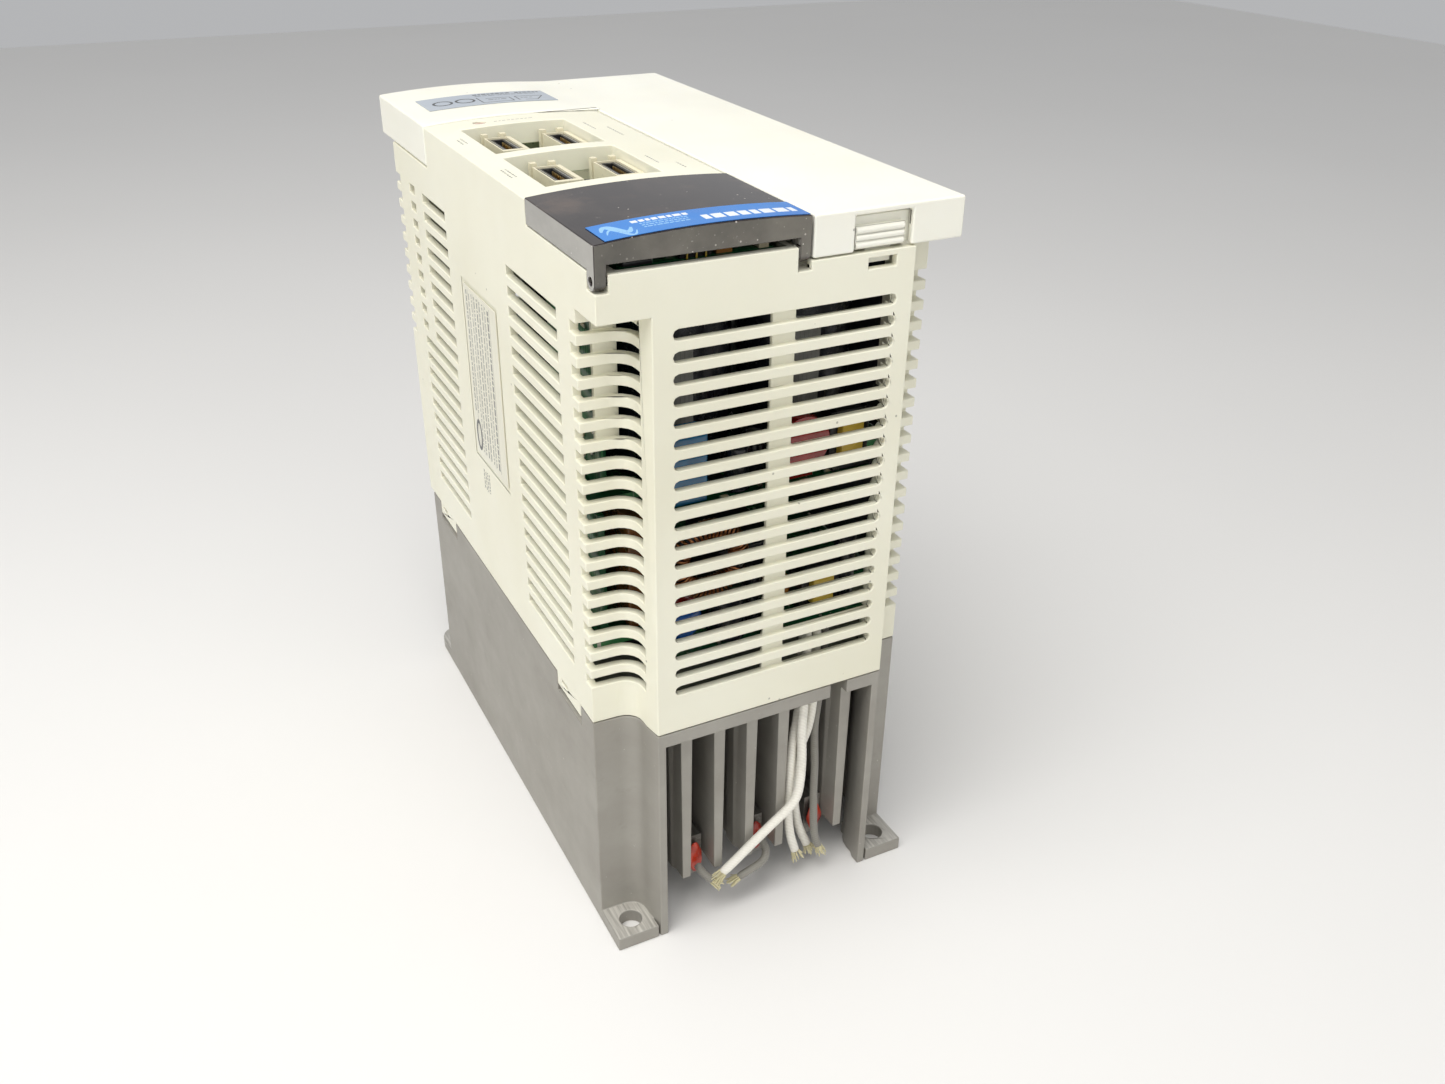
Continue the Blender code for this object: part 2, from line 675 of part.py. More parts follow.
def build_release_knob():
    """The ribbed knob that frees the cover, with its catch arm."""
    low_x = KNOB_WINDOW_X[0] + 0.4
    high_x = KNOB_WINDOW_X[1] - 1.8
    piece = box("cover_release_knob", (low_x, high_x), (NEAR + 0.7, NEAR + 3.4), (184.7, 189.8))
    join(
        piece,
        box("knob_plate", (15.0, 32.0), (NEAR + 2.2, NEAR + 3.6), (184.7, 191.7)),
        box("knob_arm", (20.4, 27.2), (NEAR + 2.5, NEAR + 3.6), (180.6, 186.0)),
    )
    bm = bmesh.new()
    for height in (185.6, 187.25, 188.9):
        add_cylinder(bm, ((low_x + high_x) / 2, NEAR + 0.85, height), "X", 0.75, high_x - low_x - 0.2, 12)
    join(piece, object_from("knob_ribs", bm))
    return place(piece, "cover_plastic", (22.9, NEAR + 2, 187.0))


def build_smoke_window():
    """The dark display window with two arms that carry its hinge pins."""
    y = (NEAR, WINDOW_FAR)
    piece = arched_block("smoke_window", -HALF_WIDTH, PANEL_RIGHT, y, WINDOW_SIDE, 0)
    inner_x = (-HALF_WIDTH + WINDOW_WALL, PANEL_RIGHT - WINDOW_WALL)
    cut(
        piece,
        arched_block("window_inside", *inner_x, (NEAR + WINDOW_WALL, WINDOW_FAR + 1), 180, WINDOW_WALL),
        box("window_lip", (-42.2, 2.3), (NEAR - 1, NEAR + 2), (180, WINDOW_LIP)),
    )
    hinge_y, hinge_z = WINDOW_AXIS
    arm = [(hinge_y + 2.0, WINDOW_LIP), (hinge_y - 2.1, WINDOW_LIP)]
    arm += arc(hinge_y, hinge_z, 2.1, 180, 360, 8)
    for name, x in (("left_arm", (-HALF_WIDTH, -42.3)), ("right_arm", (2.4, PANEL_RIGHT))):
        join(piece, extrusion(name, [arm], "X", *x))
    join(
        piece,
        cylinder("left_pin", (-41.8, hinge_y, hinge_z), "X", 1.2, 2.6, 16),
        cylinder("right_pin", (1.7, hinge_y, hinge_z), "X", 1.2, 2.2, 16),
    )
    cut(piece, cylinder("left_pin_core", (-HALF_WIDTH, hinge_y, hinge_z), "X", 0.8, 3.2, 16))
    return place(piece, "smoke_plastic", (0, hinge_y, hinge_z))


# Labels ------------------------------------------------------------------------------


def build_labels():
    place(label_sheet("window_label", -42.2, 4.8, (NEAR + 0.5, NEAR + 11.0)), "blue_label")
    place(label_sheet("front_label", -38.8, -0.9, (51.2, 66.3)), "grey_label")
    low_y, high_y = PLATE_Y
    low_z, high_z = PLATE_Z
    plate = box(
        "rating_plate",
        (-HALF_WIDTH + 0.1, -HALF_WIDTH + 0.4),
        (low_y + 1.6, high_y - 1.6),
        (low_z + 1.2, high_z - 1.2),
    )
    place(plate, "plate_label")


# Boards and electronics --------------------------------------------------------------


def build_boards():
    tongue = [(-42.0, -77.0), (-38.6, -77.0), (-38.6, -80.8), (-0.6, -80.8), (-0.6, -77.0), (2.4, -77.0)]
    control = extrusion("control_board", [tongue + [(2.4, 34.0), (-42.0, 34.0)]], "Z", *CONTROL_BOARD_Z)
    place(control, "board_green")
    nose = 28.5
    outline = [(-nose, -80.9), (nose, -80.9), (nose, -66.0), (42.0, -66.0)]
    outline += [(42.0, 66.0), (-42.0, 66.0), (-42.0, -66.0), (-nose, -66.0)]
    for name, z in (("driver_board", DRIVER_BOARD_Z), ("power_board", POWER_BOARD_Z)):
        place(extrusion(name, [outline], "Z", *z), "board_green")


def build_connectors():
    """Four upright sockets, each with two latch posts beyond its far end."""
    floor = CONTROL_BOARD_Z[1] + GAP
    for number, (x, y) in enumerate(CONNECTOR_CENTRES, 1):
        housing_y = (y - 8.6, y + 7.4)
        post_y = (housing_y[1] + 0.7, housing_y[1] + 0.7 + POST_WIDTH)
        post_z = (floor + 1, POST_TOP)
        housing = box(f"connector_housing_{number}", (x - 3.2, x + 4.0), housing_y, (floor, CONNECTOR_TOP))
        base = box("connector_base", (x - 3.8, x + 4.0), (y - 8.6, post_y[1]), (floor, floor + 1.6))
        posts = [((low, low + POST_WIDTH), post_y, post_z) for low in (x - 3.4, x + 1.6)]
        join(housing, base, boxes("latch_posts", posts))
        socket = box("socket", (x - 2.8, x + 2.8), (y - 7.0, y + 7.0), (floor + 2.2, CONNECTOR_TOP + 1))
        cut(housing, socket)
        place(housing, "cream_plastic")
        insert_z = (floor + 2.5, CONNECTOR_TOP - 0.4)
        insert = box(f"contact_insert_{number}", (x - 2.5, x + 2.5), (y - 6.7, y + 6.7), insert_z)
        tongue_z = (floor + 4.5, CONNECTOR_TOP + 1)
        cut(insert, box("tongue_slot", (x - 1.2, x + 1.2), (y - 5.6, y + 5.6), tongue_z))
        place(insert, "black_plastic")


def build_front_controls():
    floor = CONTROL_BOARD_Z[1] + GAP
    place(box("display_module", (-34.0, -14.0), (-72.0, -58.0), (floor, floor + 5.4)), "black_plastic")
    x, y = DIAL_CENTRE
    body = box("axis_switch_body", (x - 5, x + 5), (y - 5, y + 5), (floor, floor + 3.6))
    cut(body, cylinder("dial_seat", (x, y, floor + 3.6), "Z", 3.4, 3.6, 20))
    place(body, "black_plastic")
    dial = cylinder("axis_switch_dial", (x, y, floor + 3.4), "Z", 3.1, 2.4, 20)
    cut(dial, box("arrow_slot", (x - 0.5, x + 0.5), (y - 2.2, y + 2.8), (floor + 3.8, floor + 6)))
    place(dial, "cream_plastic", (x, y, floor + 3.4))
    x, y = SLIDER_CENTRE
    switch = box("test_switch_body", (x - 4.2, x + 4.2), (y - 2.4, y + 2.4), (floor, floor + 3.0))
    cut(switch, box("slider_way", (x - 2.7, x + 2.7), (y - 0.8, y + 0.8), (floor + 1.2, floor + 4)))
    place(switch, "black_plastic")
    slider = box("test_switch_slider", (x - 2.4, x - 0.9), (y - 0.5, y + 0.5), (floor + 1.5, floor + 4.2))
    place(slider, "cream_plastic", (x - 1.65, y, floor + 2.8))
    lamp = cylinder("charge_lamp", (-30.7, 32.0, 190.6), "Z", 1.5, 6.4, 16)
    place(lamp, "lamp_red")


def build_power_parts():
    sink_top = SPLIT + GAP
    driver_top = DRIVER_BOARD_Z[1] + GAP
    power_top = POWER_BOARD_Z[1] + GAP
    blocks = (
        ("power_module", (-30.0, 30.0), (0.0, 45.0), (sink_top, 83.5), "black_plastic"),
        ("rectifier_module", (-30.0, -2.0), (-46.0, -14.0), (sink_top, 83.5), "black_plastic"),
        ("inrush_relay", (-6.0, 12.0), (-64.0, -44.0), (power_top, 104.0), "black_plastic"),
        ("noise_filter", (-31.0, -26.3), (-64.0, -40.0), (power_top, 119.0), "brown_resin"),
        ("film_capacitor", (-28.0, -16.5), (-78.5, -72.0), (driver_top, 146.0), "film_blue"),
    )
    for name, x, y, z, slot in blocks:
        place(box(name, x, y, z), slot)
    disc = cylinder("surge_absorber", (9.0, -76.5, driver_top + 9.4), "Y", 7.0, 4.0, 24)
    join(disc, box("absorber_legs", (5.5, 12.5), (-77.0, -76.0), (driver_top, driver_top + 6)))
    place(disc, "varistor_red")
    centres = ((-14.5, -52.0), (20.0, -51.0), (-22.0, -16.0))
    for number, (x, y) in enumerate(centres, 1):
        can = cylinder(f"main_capacitor_{number}", (x, y, driver_top + 21), "Z", 15.0, 42.0, 28)
        place(can, "capacitor_sleeve")


def build_terminals():
    base = DRIVER_BOARD_Z[1] + GAP
    low_y, pitch, poles = -30.0, 9.6, 6
    high_y = low_y + pitch * poles
    block = box("main_terminal_block", (11.5, 25.5), (low_y, high_y), (base, 180.0))
    wells = []
    for pole in range(poles):
        start = low_y + pitch * pole
        wells.append(((12.7, 26.5), (start + 0.8, start + pitch - 0.8), (171.0, 181.0)))
    cut(block, boxes("terminal_wells", wells))
    place(block, "black_plastic")
    for pole in range(poles):
        centre = (18.6, low_y + pitch * (pole + 0.5), 173.3)
        place(screw(f"terminal_screw_{pole + 1}", centre, 3.5, 4.0), "plated_steel")
    plug = box("control_terminal_block", (29.5, 40.5), (-30.0, 22.0), (base, 178.0))
    sockets = []
    for pole in range(8):
        start = -29.0 + 6.3 * pole
        sockets.append(((31.5, 38.5), (start + 1.2, start + 5.0), (169.0, 179.0)))
    cut(plug, boxes("plug_wells", sockets))
    place(plug, "board_green")
    strip = box("earth_bar", (12.0, 40.0), (50.0, 62.0), (base, 170.0))
    cut(strip, box("earth_bar_void", (13.5, 38.5), (49.0, 63.0), (base - 1, 168.4)))
    place(strip, "plated_steel")
    for number, x in enumerate((19.0, 33.0), 1):
        place(screw(f"earth_screw_{number}", (x, 56.0, 172.3), 3.8, 4.0), "plated_steel")


def screw(name, centre, radius, height):
    """A crosshead screw head."""
    x, y, z = centre
    head = cylinder(name, centre, "Z", radius, height, 20)
    top = (z + height / 2 - 1.4, z + height)
    cut(
        head,
        box("slot_across", (x - radius * 0.62, x + radius * 0.62), (y - 0.45, y + 0.45), top),
        box("slot_along", (x - 0.45, x + 0.45), (y - radius * 0.62, y + radius * 0.62), top),
    )
    return head


# Fan, resistors and leads ------------------------------------------------------------


def build_fan():
    y = (FAN_NEAR, FAN_NEAR + FAN_DEPTH)
    z = (FAN_CENTRE_Z - FAN_HALF, FAN_CENTRE_Z + FAN_HALF)
    middle = sum(y) / 2
    frame = box("fan_frame", (-FAN_HALF, FAN_HALF), y, z)
    cut(frame, cylinder("fan_bore", (0, middle, FAN_CENTRE_Z), "Y", FAN_BORE, 40.0, 32))
    arm_x = (-FAN_BORE - 1, FAN_BORE + 1)
    arm_z = (FAN_CENTRE_Z - 2, FAN_CENTRE_Z + 2)
    join(
        frame,
        box("motor_arm_across", arm_x, (FAN_NEAR + 0.5, FAN_NEAR + 2.5), arm_z),
        box("motor_arm_up", (-2, 2), (FAN_NEAR + 0.4, FAN_NEAR + 2.6), (z[0] + 1, z[1] - 1)),
        cylinder("motor_seat", (0, FAN_NEAR + 1.6, FAN_CENTRE_Z), "Y", 13.0, 2.4, 24),
    )
    bm = bmesh.new()
    for x in (-25, 25):
        for height in (FAN_CENTRE_Z - 25, FAN_CENTRE_Z + 25):
            add_cylinder(bm, (x, middle, height), "Y", 2.2, 40.0, 12)
    cut(frame, object_from("fan_screw_holes", bm))
    place(frame, "black_plastic")
    place(fan_rotor(middle), "black_plastic", (0, middle, FAN_CENTRE_Z))
    place(fan_guard(y[1] + GAP), "plated_steel")


def fan_rotor(middle):
    rotor = cylinder("fan_rotor", (0, middle + 1.8, FAN_CENTRE_Z), "Y", HUB_RADIUS, 19.6, 28)
    bm = bmesh.new()
    for index in range(BLADE_COUNT):
        turn = Matrix.Rotation(2 * math.pi * index / BLADE_COUNT, 4, "Y")
        lean = Matrix.Rotation(BLADE_PITCH, 4, "Z")
        reach = Matrix.Translation(Vector((0, 0, 19.8)) * MM)
        size = Matrix.Diagonal((17 * MM, 1.6 * MM, 13.6 * MM, 1))
        home = Matrix.Translation(Vector((0, middle + 1.5, FAN_CENTRE_Z)) * MM)
        bmesh.ops.create_cube(bm, size=1, matrix=home @ turn @ reach @ lean @ size)
    join(rotor, object_from("fan_blades", bm))
    return rotor


def fan_guard(near_y):
    """A stamped finger guard: rings joined by four spokes, with screw ears."""
    spoke_degrees = 3.0
    outlines = [stadium_square(FAN_HALF - 0.6, 6.0)]
    for inner, outer in ((9.0, 13.0), (14.6, 18.6), (20.2, 24.2), (25.6, 28.0)):
        half_gap = spoke_degrees * 20.0 / outer
        for quarter in range(4):
            start = 90 * quarter + half_gap
            end = 90 * (quarter + 1) - half_gap
            outlines.append(arc(0, 0, outer, start, end, 7) + arc(0, 0, inner, end, start, 7))
    for x in (-25, 25):
        for y in (-25, 25):
            outlines.append(arc(x, y, 2.2, 0, 315, 7))
    lifted = [[(x, y + FAN_CENTRE_Z) for x, y in outline] for outline in outlines]
    return extrusion("fan_guard", lifted, "Y", near_y, near_y + 1.2)


def stadium_square(half, radius):
    """A square outline with round corners."""
    reach = half - radius
    points = []
    for quarter, (across, up) in enumerate(((1, 1), (-1, 1), (-1, -1), (1, -1))):
        start = 90 * quarter
        points += arc(across * reach, up * reach, radius, start, start + 90, 5)
    return points


def build_resistors():
    for number, x in enumerate(RESISTOR_XS, 1):
        width = (x - RESISTOR_WIDTH / 2, x + RESISTOR_WIDTH / 2)
        place(box(f"brake_resistor_{number}", width, RESISTOR_Y, RESISTOR_Z), "resistor_case")
        bm = bmesh.new()
        near = RESISTOR_Y[0] - GAP
        centre = Vector((x, near - 1.05, sum(RESISTOR_Z) / 2 + 0.4)) * MM
        size = Matrix.Diagonal((2.5 * MM, 1.05 * MM, 5.6 * MM, 1))
        bmesh.ops.create_uvsphere(
            bm, u_segments=12, v_segments=8, radius=1, matrix=Matrix.Translation(centre) @ size
        )
        place(object_from(f"resistor_seal_{number}", bm), "red_sealant")


def build_leads():
    for name, route in LEADS.items():
        place(tube(name, route, WHITE_LEAD_RADIUS), "white_sleeve")
    for name, route in SLEEVES.items():
        place(tube(name, route, GREY_LEAD_RADIUS), "glass_fibre_sleeve")


clear_scene()
PARTS = make_collection("servo_drive")
CUTTERS = make_collection("cutters")
LOOKS = {name: make_material(name, *look) for name, look in MATERIALS.items()}
build_heatsink()
build_main_case()
build_front_cover()
build_release_knob()
build_smoke_window()
build_labels()
build_boards()
build_connectors()
build_front_controls()
build_power_parts()
build_terminals()
build_fan()
build_resistors()
build_leads()
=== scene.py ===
import json
import math
import random

import bmesh
import bpy
from mathutils import Matrix, Vector


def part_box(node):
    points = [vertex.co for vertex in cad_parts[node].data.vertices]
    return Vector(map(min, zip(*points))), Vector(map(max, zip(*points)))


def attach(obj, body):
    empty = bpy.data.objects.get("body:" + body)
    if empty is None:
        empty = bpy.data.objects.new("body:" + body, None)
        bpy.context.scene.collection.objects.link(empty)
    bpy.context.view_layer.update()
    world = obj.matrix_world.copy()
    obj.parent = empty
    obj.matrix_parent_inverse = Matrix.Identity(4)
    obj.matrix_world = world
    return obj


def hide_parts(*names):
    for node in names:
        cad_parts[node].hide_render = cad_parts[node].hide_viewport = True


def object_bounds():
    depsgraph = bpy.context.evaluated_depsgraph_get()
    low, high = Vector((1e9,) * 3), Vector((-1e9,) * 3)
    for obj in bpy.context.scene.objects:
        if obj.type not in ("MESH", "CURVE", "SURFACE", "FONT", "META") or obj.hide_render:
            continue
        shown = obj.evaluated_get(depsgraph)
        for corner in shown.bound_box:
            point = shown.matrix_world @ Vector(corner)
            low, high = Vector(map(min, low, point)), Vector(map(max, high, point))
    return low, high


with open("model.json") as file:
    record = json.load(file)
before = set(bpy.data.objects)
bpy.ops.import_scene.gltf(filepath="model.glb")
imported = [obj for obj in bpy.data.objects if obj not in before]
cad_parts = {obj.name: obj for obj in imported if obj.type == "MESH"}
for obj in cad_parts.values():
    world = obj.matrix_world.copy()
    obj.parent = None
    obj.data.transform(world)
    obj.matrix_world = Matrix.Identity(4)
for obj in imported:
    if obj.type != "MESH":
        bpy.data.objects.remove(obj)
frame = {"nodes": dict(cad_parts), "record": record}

CAD_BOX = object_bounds()
MM = 0.001
NODES = frame["nodes"]

# The camera: where it stands, what it looks at, how far it leans, and its lens
CAMERA_AT = Vector((-0.1367, -0.3173, 0.2683))
CAMERA_TARGET = Vector((0.0038, -0.0470, 0.0959))
CAMERA_ROLL = math.radians(0.79)
CAMERA_LENS = 32.25

# Heights of the heatsink's two machined faces, in metres
FOOT_TOP = 0.004
LEDGE_TOP = 0.062

scene = bpy.context.scene
scene.view_settings.view_transform = "Standard"
EXTRAS = bpy.data.collections.new("visual_details")
scene.collection.children.link(EXTRAS)


# Materials ---------------------------------------------------------------------------


def srgb(red, green, blue):
    """A linear colour from the values that a colour picker shows."""
    values = [v / 255 for v in (red, green, blue)]
    return tuple(v / 12.92 if v <= 0.04045 else ((v + 0.055) / 1.055) ** 2.4 for v in values)


class Look:
    """A procedural material, built up by adding textures to one Principled shader."""

    def __init__(self, name, colour, roughness, metallic=0.0, **sockets):
        self.material = bpy.data.materials.new(name)
        self.material.use_nodes = True
        self.tree = self.material.node_tree
        self.shader = self.tree.nodes["Principled BSDF"]
        self.shader.inputs["Base Color"].default_value = (*colour, 1)
        self.shader.inputs["Roughness"].default_value = roughness
        self.shader.inputs["Metallic"].default_value = metallic
        for name, value in sockets.items():
            self.shader.inputs[name.replace("_", " ")].default_value = value
        self.place = self.tree.nodes.new("ShaderNodeTexCoord").outputs["Object"]
        self.height = None

    def add(self, kind, inputs, **settings):
        node = self.tree.nodes.new(kind)
        for name, value in settings.items():
            setattr(node, name, value)
        for key, value in inputs.items():
            if isinstance(value, bpy.types.NodeSocket):
                self.tree.links.new(value, node.inputs[key])
            else:
                node.inputs[key].default_value = value
        return node

    def stretched(self, x, y, z):
        """The object's coordinates, scaled along each axis."""
        return self.add("ShaderNodeMapping", {"Vector": self.place, "Scale": (x, y, z)}).outputs[0]

    def noise(self, scale, detail=3.0, roughness=0.5, place=None):
        inputs = {"Vector": place or self.place, "Scale": scale, "Detail": detail, "Roughness": roughness}
        return self.add("ShaderNodeTexNoise", inputs).outputs["Fac"]

    def cells(self, scale, feature="F1", place=None, randomness=1.0):
        inputs = {"Vector": place or self.place, "Scale": scale, "Randomness": randomness}
        return self.add("ShaderNodeTexVoronoi", inputs, feature=feature).outputs["Distance"]

    def span(self, value, low, high, to_low=0.0, to_high=1.0):
        """Maps low..high to to_low..to_high, held inside that range."""
        inputs = {"Value": value, "From Min": low, "From Max": high, "To Min": to_low, "To Max": to_high}
        return self.add("ShaderNodeMapRange", inputs).outputs["Result"]

    def maths(self, operation, a, b):
        return self.add("ShaderNodeMath", {0: a, 1: b}, operation=operation).outputs[0]

    def times(self, a, b):
        return self.maths("MULTIPLY", a, b)

    def mix(self, share, a, b):
        """Colour a where share is 0 and colour b where it is 1."""
        first, second = ((*c, 1) if isinstance(c, tuple) else c for c in (a, b))
        inputs = {0: share, 6: first, 7: second}
        return self.add("ShaderNodeMix", inputs, data_type="RGBA").outputs[2]

    def axis(self, name):
        """One coordinate of the place."""
        return self.add("ShaderNodeSeparateXYZ", {"Vector": self.place}).outputs[name]

    def facing(self, name):
        """One component of the surface normal."""
        normal = self.tree.nodes.new("ShaderNodeNewGeometry").outputs["Normal"]
        return self.add("ShaderNodeSeparateXYZ", {"Vector": normal}).outputs[name]

    def set_colour(self, socket):
        self.tree.links.new(socket, self.shader.inputs["Base Color"])

    def set_roughness(self, socket):
        self.tree.links.new(socket, self.shader.inputs["Roughness"])

    def set_metallic(self, socket):
        self.tree.links.new(socket, self.shader.inputs["Metallic"])

    def bump(self, height, distance, strength=1.0):
        """Adds a relief; distance is its height in metres."""
        inputs = {"Height": height, "Distance": distance, "Strength": strength}
        if self.height:
            inputs["Normal"] = self.height
        self.height = self.add("ShaderNodeBump", inputs).outputs["Normal"]
        self.tree.links.new(self.height, self.shader.inputs["Normal"])


def moulded_plastic(name, colour, shade, roughness, grain=0.00003):
    """Moulded plastic: spark-eroded grain, uneven tone, faint marks and a few dark specks."""
    look = Look(name, colour, roughness, Specular_IOR_Level=0.45, Subsurface_Weight=0.04)
    look.shader.inputs["Subsurface Radius"].default_value = (0.002, 0.0016, 0.0010)
    tone = look.noise(14, 4, 0.55)
    body = look.mix(look.span(tone, 0.35, 0.7), colour, shade)
    smear = look.noise(9, 6, 0.65, look.stretched(1.0, 1.0, 0.35))
    body = look.mix(look.span(smear, 0.60, 0.80, 0.0, 0.35), body, shade)
    speck_mask = look.span(look.noise(160, 1, 0.4), 0.66, 0.68)
    speck = look.times(look.span(look.cells(260), 0.10, 0.06), speck_mask)
    dirt = tuple(c * 0.35 for c in shade)
    look.set_colour(look.mix(look.times(speck, 0.7), body, dirt))
    look.set_roughness(look.span(look.noise(60, 5, 0.6), 0.3, 0.7, roughness - 0.07, roughness + 0.08))
    look.bump(look.noise(2600, 2, 0.6), grain, 0.6)
    look.bump(look.noise(38, 2, 0.5), 0.00006, 0.5)
    return look.material


def cast_aluminium():
    """Die-cast metal: cloudy satin skin, pits and flow marks, bright where it was machined."""
    skin = srgb(163, 160, 152)
    dull = srgb(150, 146, 138)
    bright = srgb(214, 211, 203)
    look = Look("cast_aluminium_skin", skin, 0.5, 0.3, Specular_IOR_Level=0.5)
    flow = look.noise(34, 5, 0.62, look.stretched(1.0, 0.45, 1.3))
    body = look.mix(look.span(flow, 0.34, 0.68), skin, dull)
    stain = look.noise(120, 4, 0.7)
    body = look.mix(look.span(stain, 0.62, 0.80, 0.0, 0.3), body, srgb(122, 118, 110))
    up = look.span(look.facing("Z"), 0.90, 0.98)
    height = look.axis("Z")
    off_foot = look.maths("ABSOLUTE", look.maths("SUBTRACT", height, FOOT_TOP), 0.0)
    off_ledge = look.maths("ABSOLUTE", look.maths("SUBTRACT", height, LEDGE_TOP), 0.0)
    foot = look.span(off_foot, 0.0006, 0.0003)
    step = look.span(off_ledge, 0.0009, 0.0006)
    machined = look.times(up, look.maths("MAXIMUM", foot, step))
    cutter = look.noise(1500, 2, 0.5, look.stretched(1.0, 0.05, 1.0))
    nick = look.span(look.noise(620, 3, 0.7), 0.71, 0.75)
    polished = look.mix(look.span(cutter, 0.3, 0.7), bright, skin)
    worn = look.mix(look.times(nick, 0.75), body, bright)
    look.set_colour(look.mix(machined, worn, polished))
    look.set_metallic(look.span(machined, 0.0, 1.0, 0.3, 0.4))
    rough = look.span(look.noise(90, 4, 0.6), 0.3, 0.7, 0.42, 0.56)
    look.set_roughness(look.maths("SUBTRACT", rough, look.times(nick, 0.12)))
    look.bump(look.noise(1300, 3, 0.65), 0.00005, 0.5)
    look.bump(look.span(look.cells(330), 0.0, 0.25), 0.00004, 0.25)
    look.bump(flow, 0.00012, 0.3)
    return look.material


def smoke_plastic():
    """Dark tinted window: glossy, with dust, fine hairlines and finger smears, and painted reflections:
    paler colour on its left and near faces.
    """
    tint = srgb(44, 34, 33)
    look = Look("smoke_tint", tint, 0.09, 0.0, IOR=1.5, Transmission_Weight=0.30, Coat_Weight=0.35)
    look.shader.inputs["Coat Roughness"].default_value = 0.04
    smear = look.noise(70, 5, 0.62, look.stretched(1.0, 0.6, 1.0))
    dust_mask = look.span(look.noise(45, 2, 0.5), 0.50, 0.62)
    dust = look.times(look.span(look.cells(430), 0.115, 0.07), dust_mask)
    line = look.noise(1500, 2, 0.4, look.stretched(1.0, 0.012, 1.0))
    scratch = look.span(line, 0.735, 0.755)
    marks = look.maths("MAXIMUM", dust, look.times(scratch, 0.35))
    smears_and_painted_reflection = look.mix(look.span(smear, 0.45, 0.75, 0.0, 0.45), tint, srgb(112, 100, 92))
    blotch = look.span(look.noise(38, 5, 0.7), 0.55, 0.72, 0.0, 0.30)
    smears_and_painted_reflection = look.mix(blotch, smears_and_painted_reflection, srgb(150, 124, 106))
    # Painted reflection: faces turned to the left are coloured pale grey and faces turned to the near side
    # a lighter grey-brown, for the light they reflect
    sideways = look.times(look.facing("X"), -1.0)
    left_reflection_mask = look.span(sideways, 0.85, 0.98)
    painted_left_reflection = look.mix(look.span(smear, 0.30, 0.70), srgb(206, 203, 194), srgb(180, 178, 171))
    smears_and_painted_reflection = look.mix(look.times(left_reflection_mask, 0.92), smears_and_painted_reflection, painted_left_reflection)
    near_reflection_mask = look.span(look.times(look.facing("Y"), -1.0), 0.85, 0.98)
    painted_near_reflection = look.mix(look.span(smear, 0.30, 0.70), srgb(112, 109, 100), srgb(150, 146, 134))
    smears_and_painted_reflection = look.mix(look.times(near_reflection_mask, 0.75), smears_and_painted_reflection, painted_near_reflection)
    look.set_colour(look.mix(marks, smears_and_painted_reflection, srgb(222, 214, 204)))
    haze = look.span(smear, 0.42, 0.75, 0.07, 0.30)
    look.set_roughness(look.maths("MAXIMUM", haze, look.times(marks, 0.6)))
    look.bump(look.noise(26, 2, 0.5), 0.00008, 0.35)
    return look.material


def circuit_board():
    """Green solder mask with copper tracks, vias and tinned pads."""
    mask = srgb(22, 92, 56)
    look = Look("solder_mask", mask, 0.3, 0.0, Coat_Weight=0.3)
    tracks = look.add(
        "ShaderNodeTexBrick",
        {"Vector": look.stretched(1, 1, 0.001), "Scale": 170.0, "Mortar Size": 0.035, "Mortar Smooth": 0.0},
    ).outputs["Fac"]
    some = look.span(look.noise(95, 1, 0.5), 0.48, 0.52)
    copper = look.times(tracks, some)
    body = look.mix(copper, mask, srgb(58, 132, 78))
    flat = look.stretched(1, 1, 0.001)
    pad_area = look.span(look.noise(60, 1, 0.5, flat), 0.53, 0.57)
    dots = look.span(look.cells(390, place=flat, randomness=0.35), 0.24, 0.20)
    pad = look.times(dots, pad_area)
    look.set_colour(look.mix(pad, body, srgb(206, 204, 196)))
    look.set_metallic(look.times(pad, 0.8))
    look.bump(look.maths("MAXIMUM", copper, pad), 0.00005, 0.7)
    return look.material


def satin_plastic(name, colour, roughness=0.42, marks=0.25):
    """A plain moulded part with a fine grain, handling marks and a little dust."""
    look = Look(name, colour, roughness)
    lighter = tuple(min(1.0, c * 1.25 + 0.012) for c in colour)
    rubbed = look.noise(120, 4, 0.6)
    body = look.mix(look.span(rubbed, 0.45, 0.75, 0.0, marks), colour, lighter)
    dust = look.times(look.span(look.noise(950, 2, 0.6), 0.62, 0.72), 0.25)
    look.set_colour(look.mix(dust, body, srgb(150, 146, 136)))
    look.set_roughness(look.span(rubbed, 0.3, 0.7, roughness - 0.08, roughness + 0.1))
    look.bump(look.noise(2200, 2, 0.5), 0.00003, 0.5)
    return look.material


def printed_film(name, colour, second, roughness=0.35):
    """A printed sticker: flat ink with a faint halftone and a rubbed surface."""
    look = Look(name, colour, roughness, Coat_Weight=0.25)
    dots = look.span(look.cells(3200, randomness=0.1), 0.25, 0.45)
    wash = look.span(look.noise(26, 3, 0.5), 0.3, 0.7)
    body = look.mix(look.times(dots, 0.12), look.mix(wash, colour, second), second)
    look.set_colour(body)
    look.set_roughness(look.span(look.noise(180, 4, 0.6), 0.3, 0.7, roughness - 0.06, roughness + 0.12))
    look.bump(look.noise(300, 3, 0.5), 0.00002, 0.6)
    return look.material


def plated_steel(name="plated_steel", colour=(0.62, 0.60, 0.56), roughness=0.30):
    """Zinc or tin plate with fine brushing and dull patches."""
    look = Look(name, colour, roughness, 1.0)
    brush = look.noise(1400, 2, 0.5, look.stretched(1, 0.08, 1))
    dull = look.noise(220, 4, 0.6)
    darker = tuple(c * 0.72 for c in colour)
    look.set_colour(look.mix(look.span(dull, 0.4, 0.7), colour, darker))
    look.set_roughness(look.span(dull, 0.3, 0.7, roughness - 0.08, roughness + 0.15))
    look.bump(brush, 0.00002, 0.6)
    return look.material


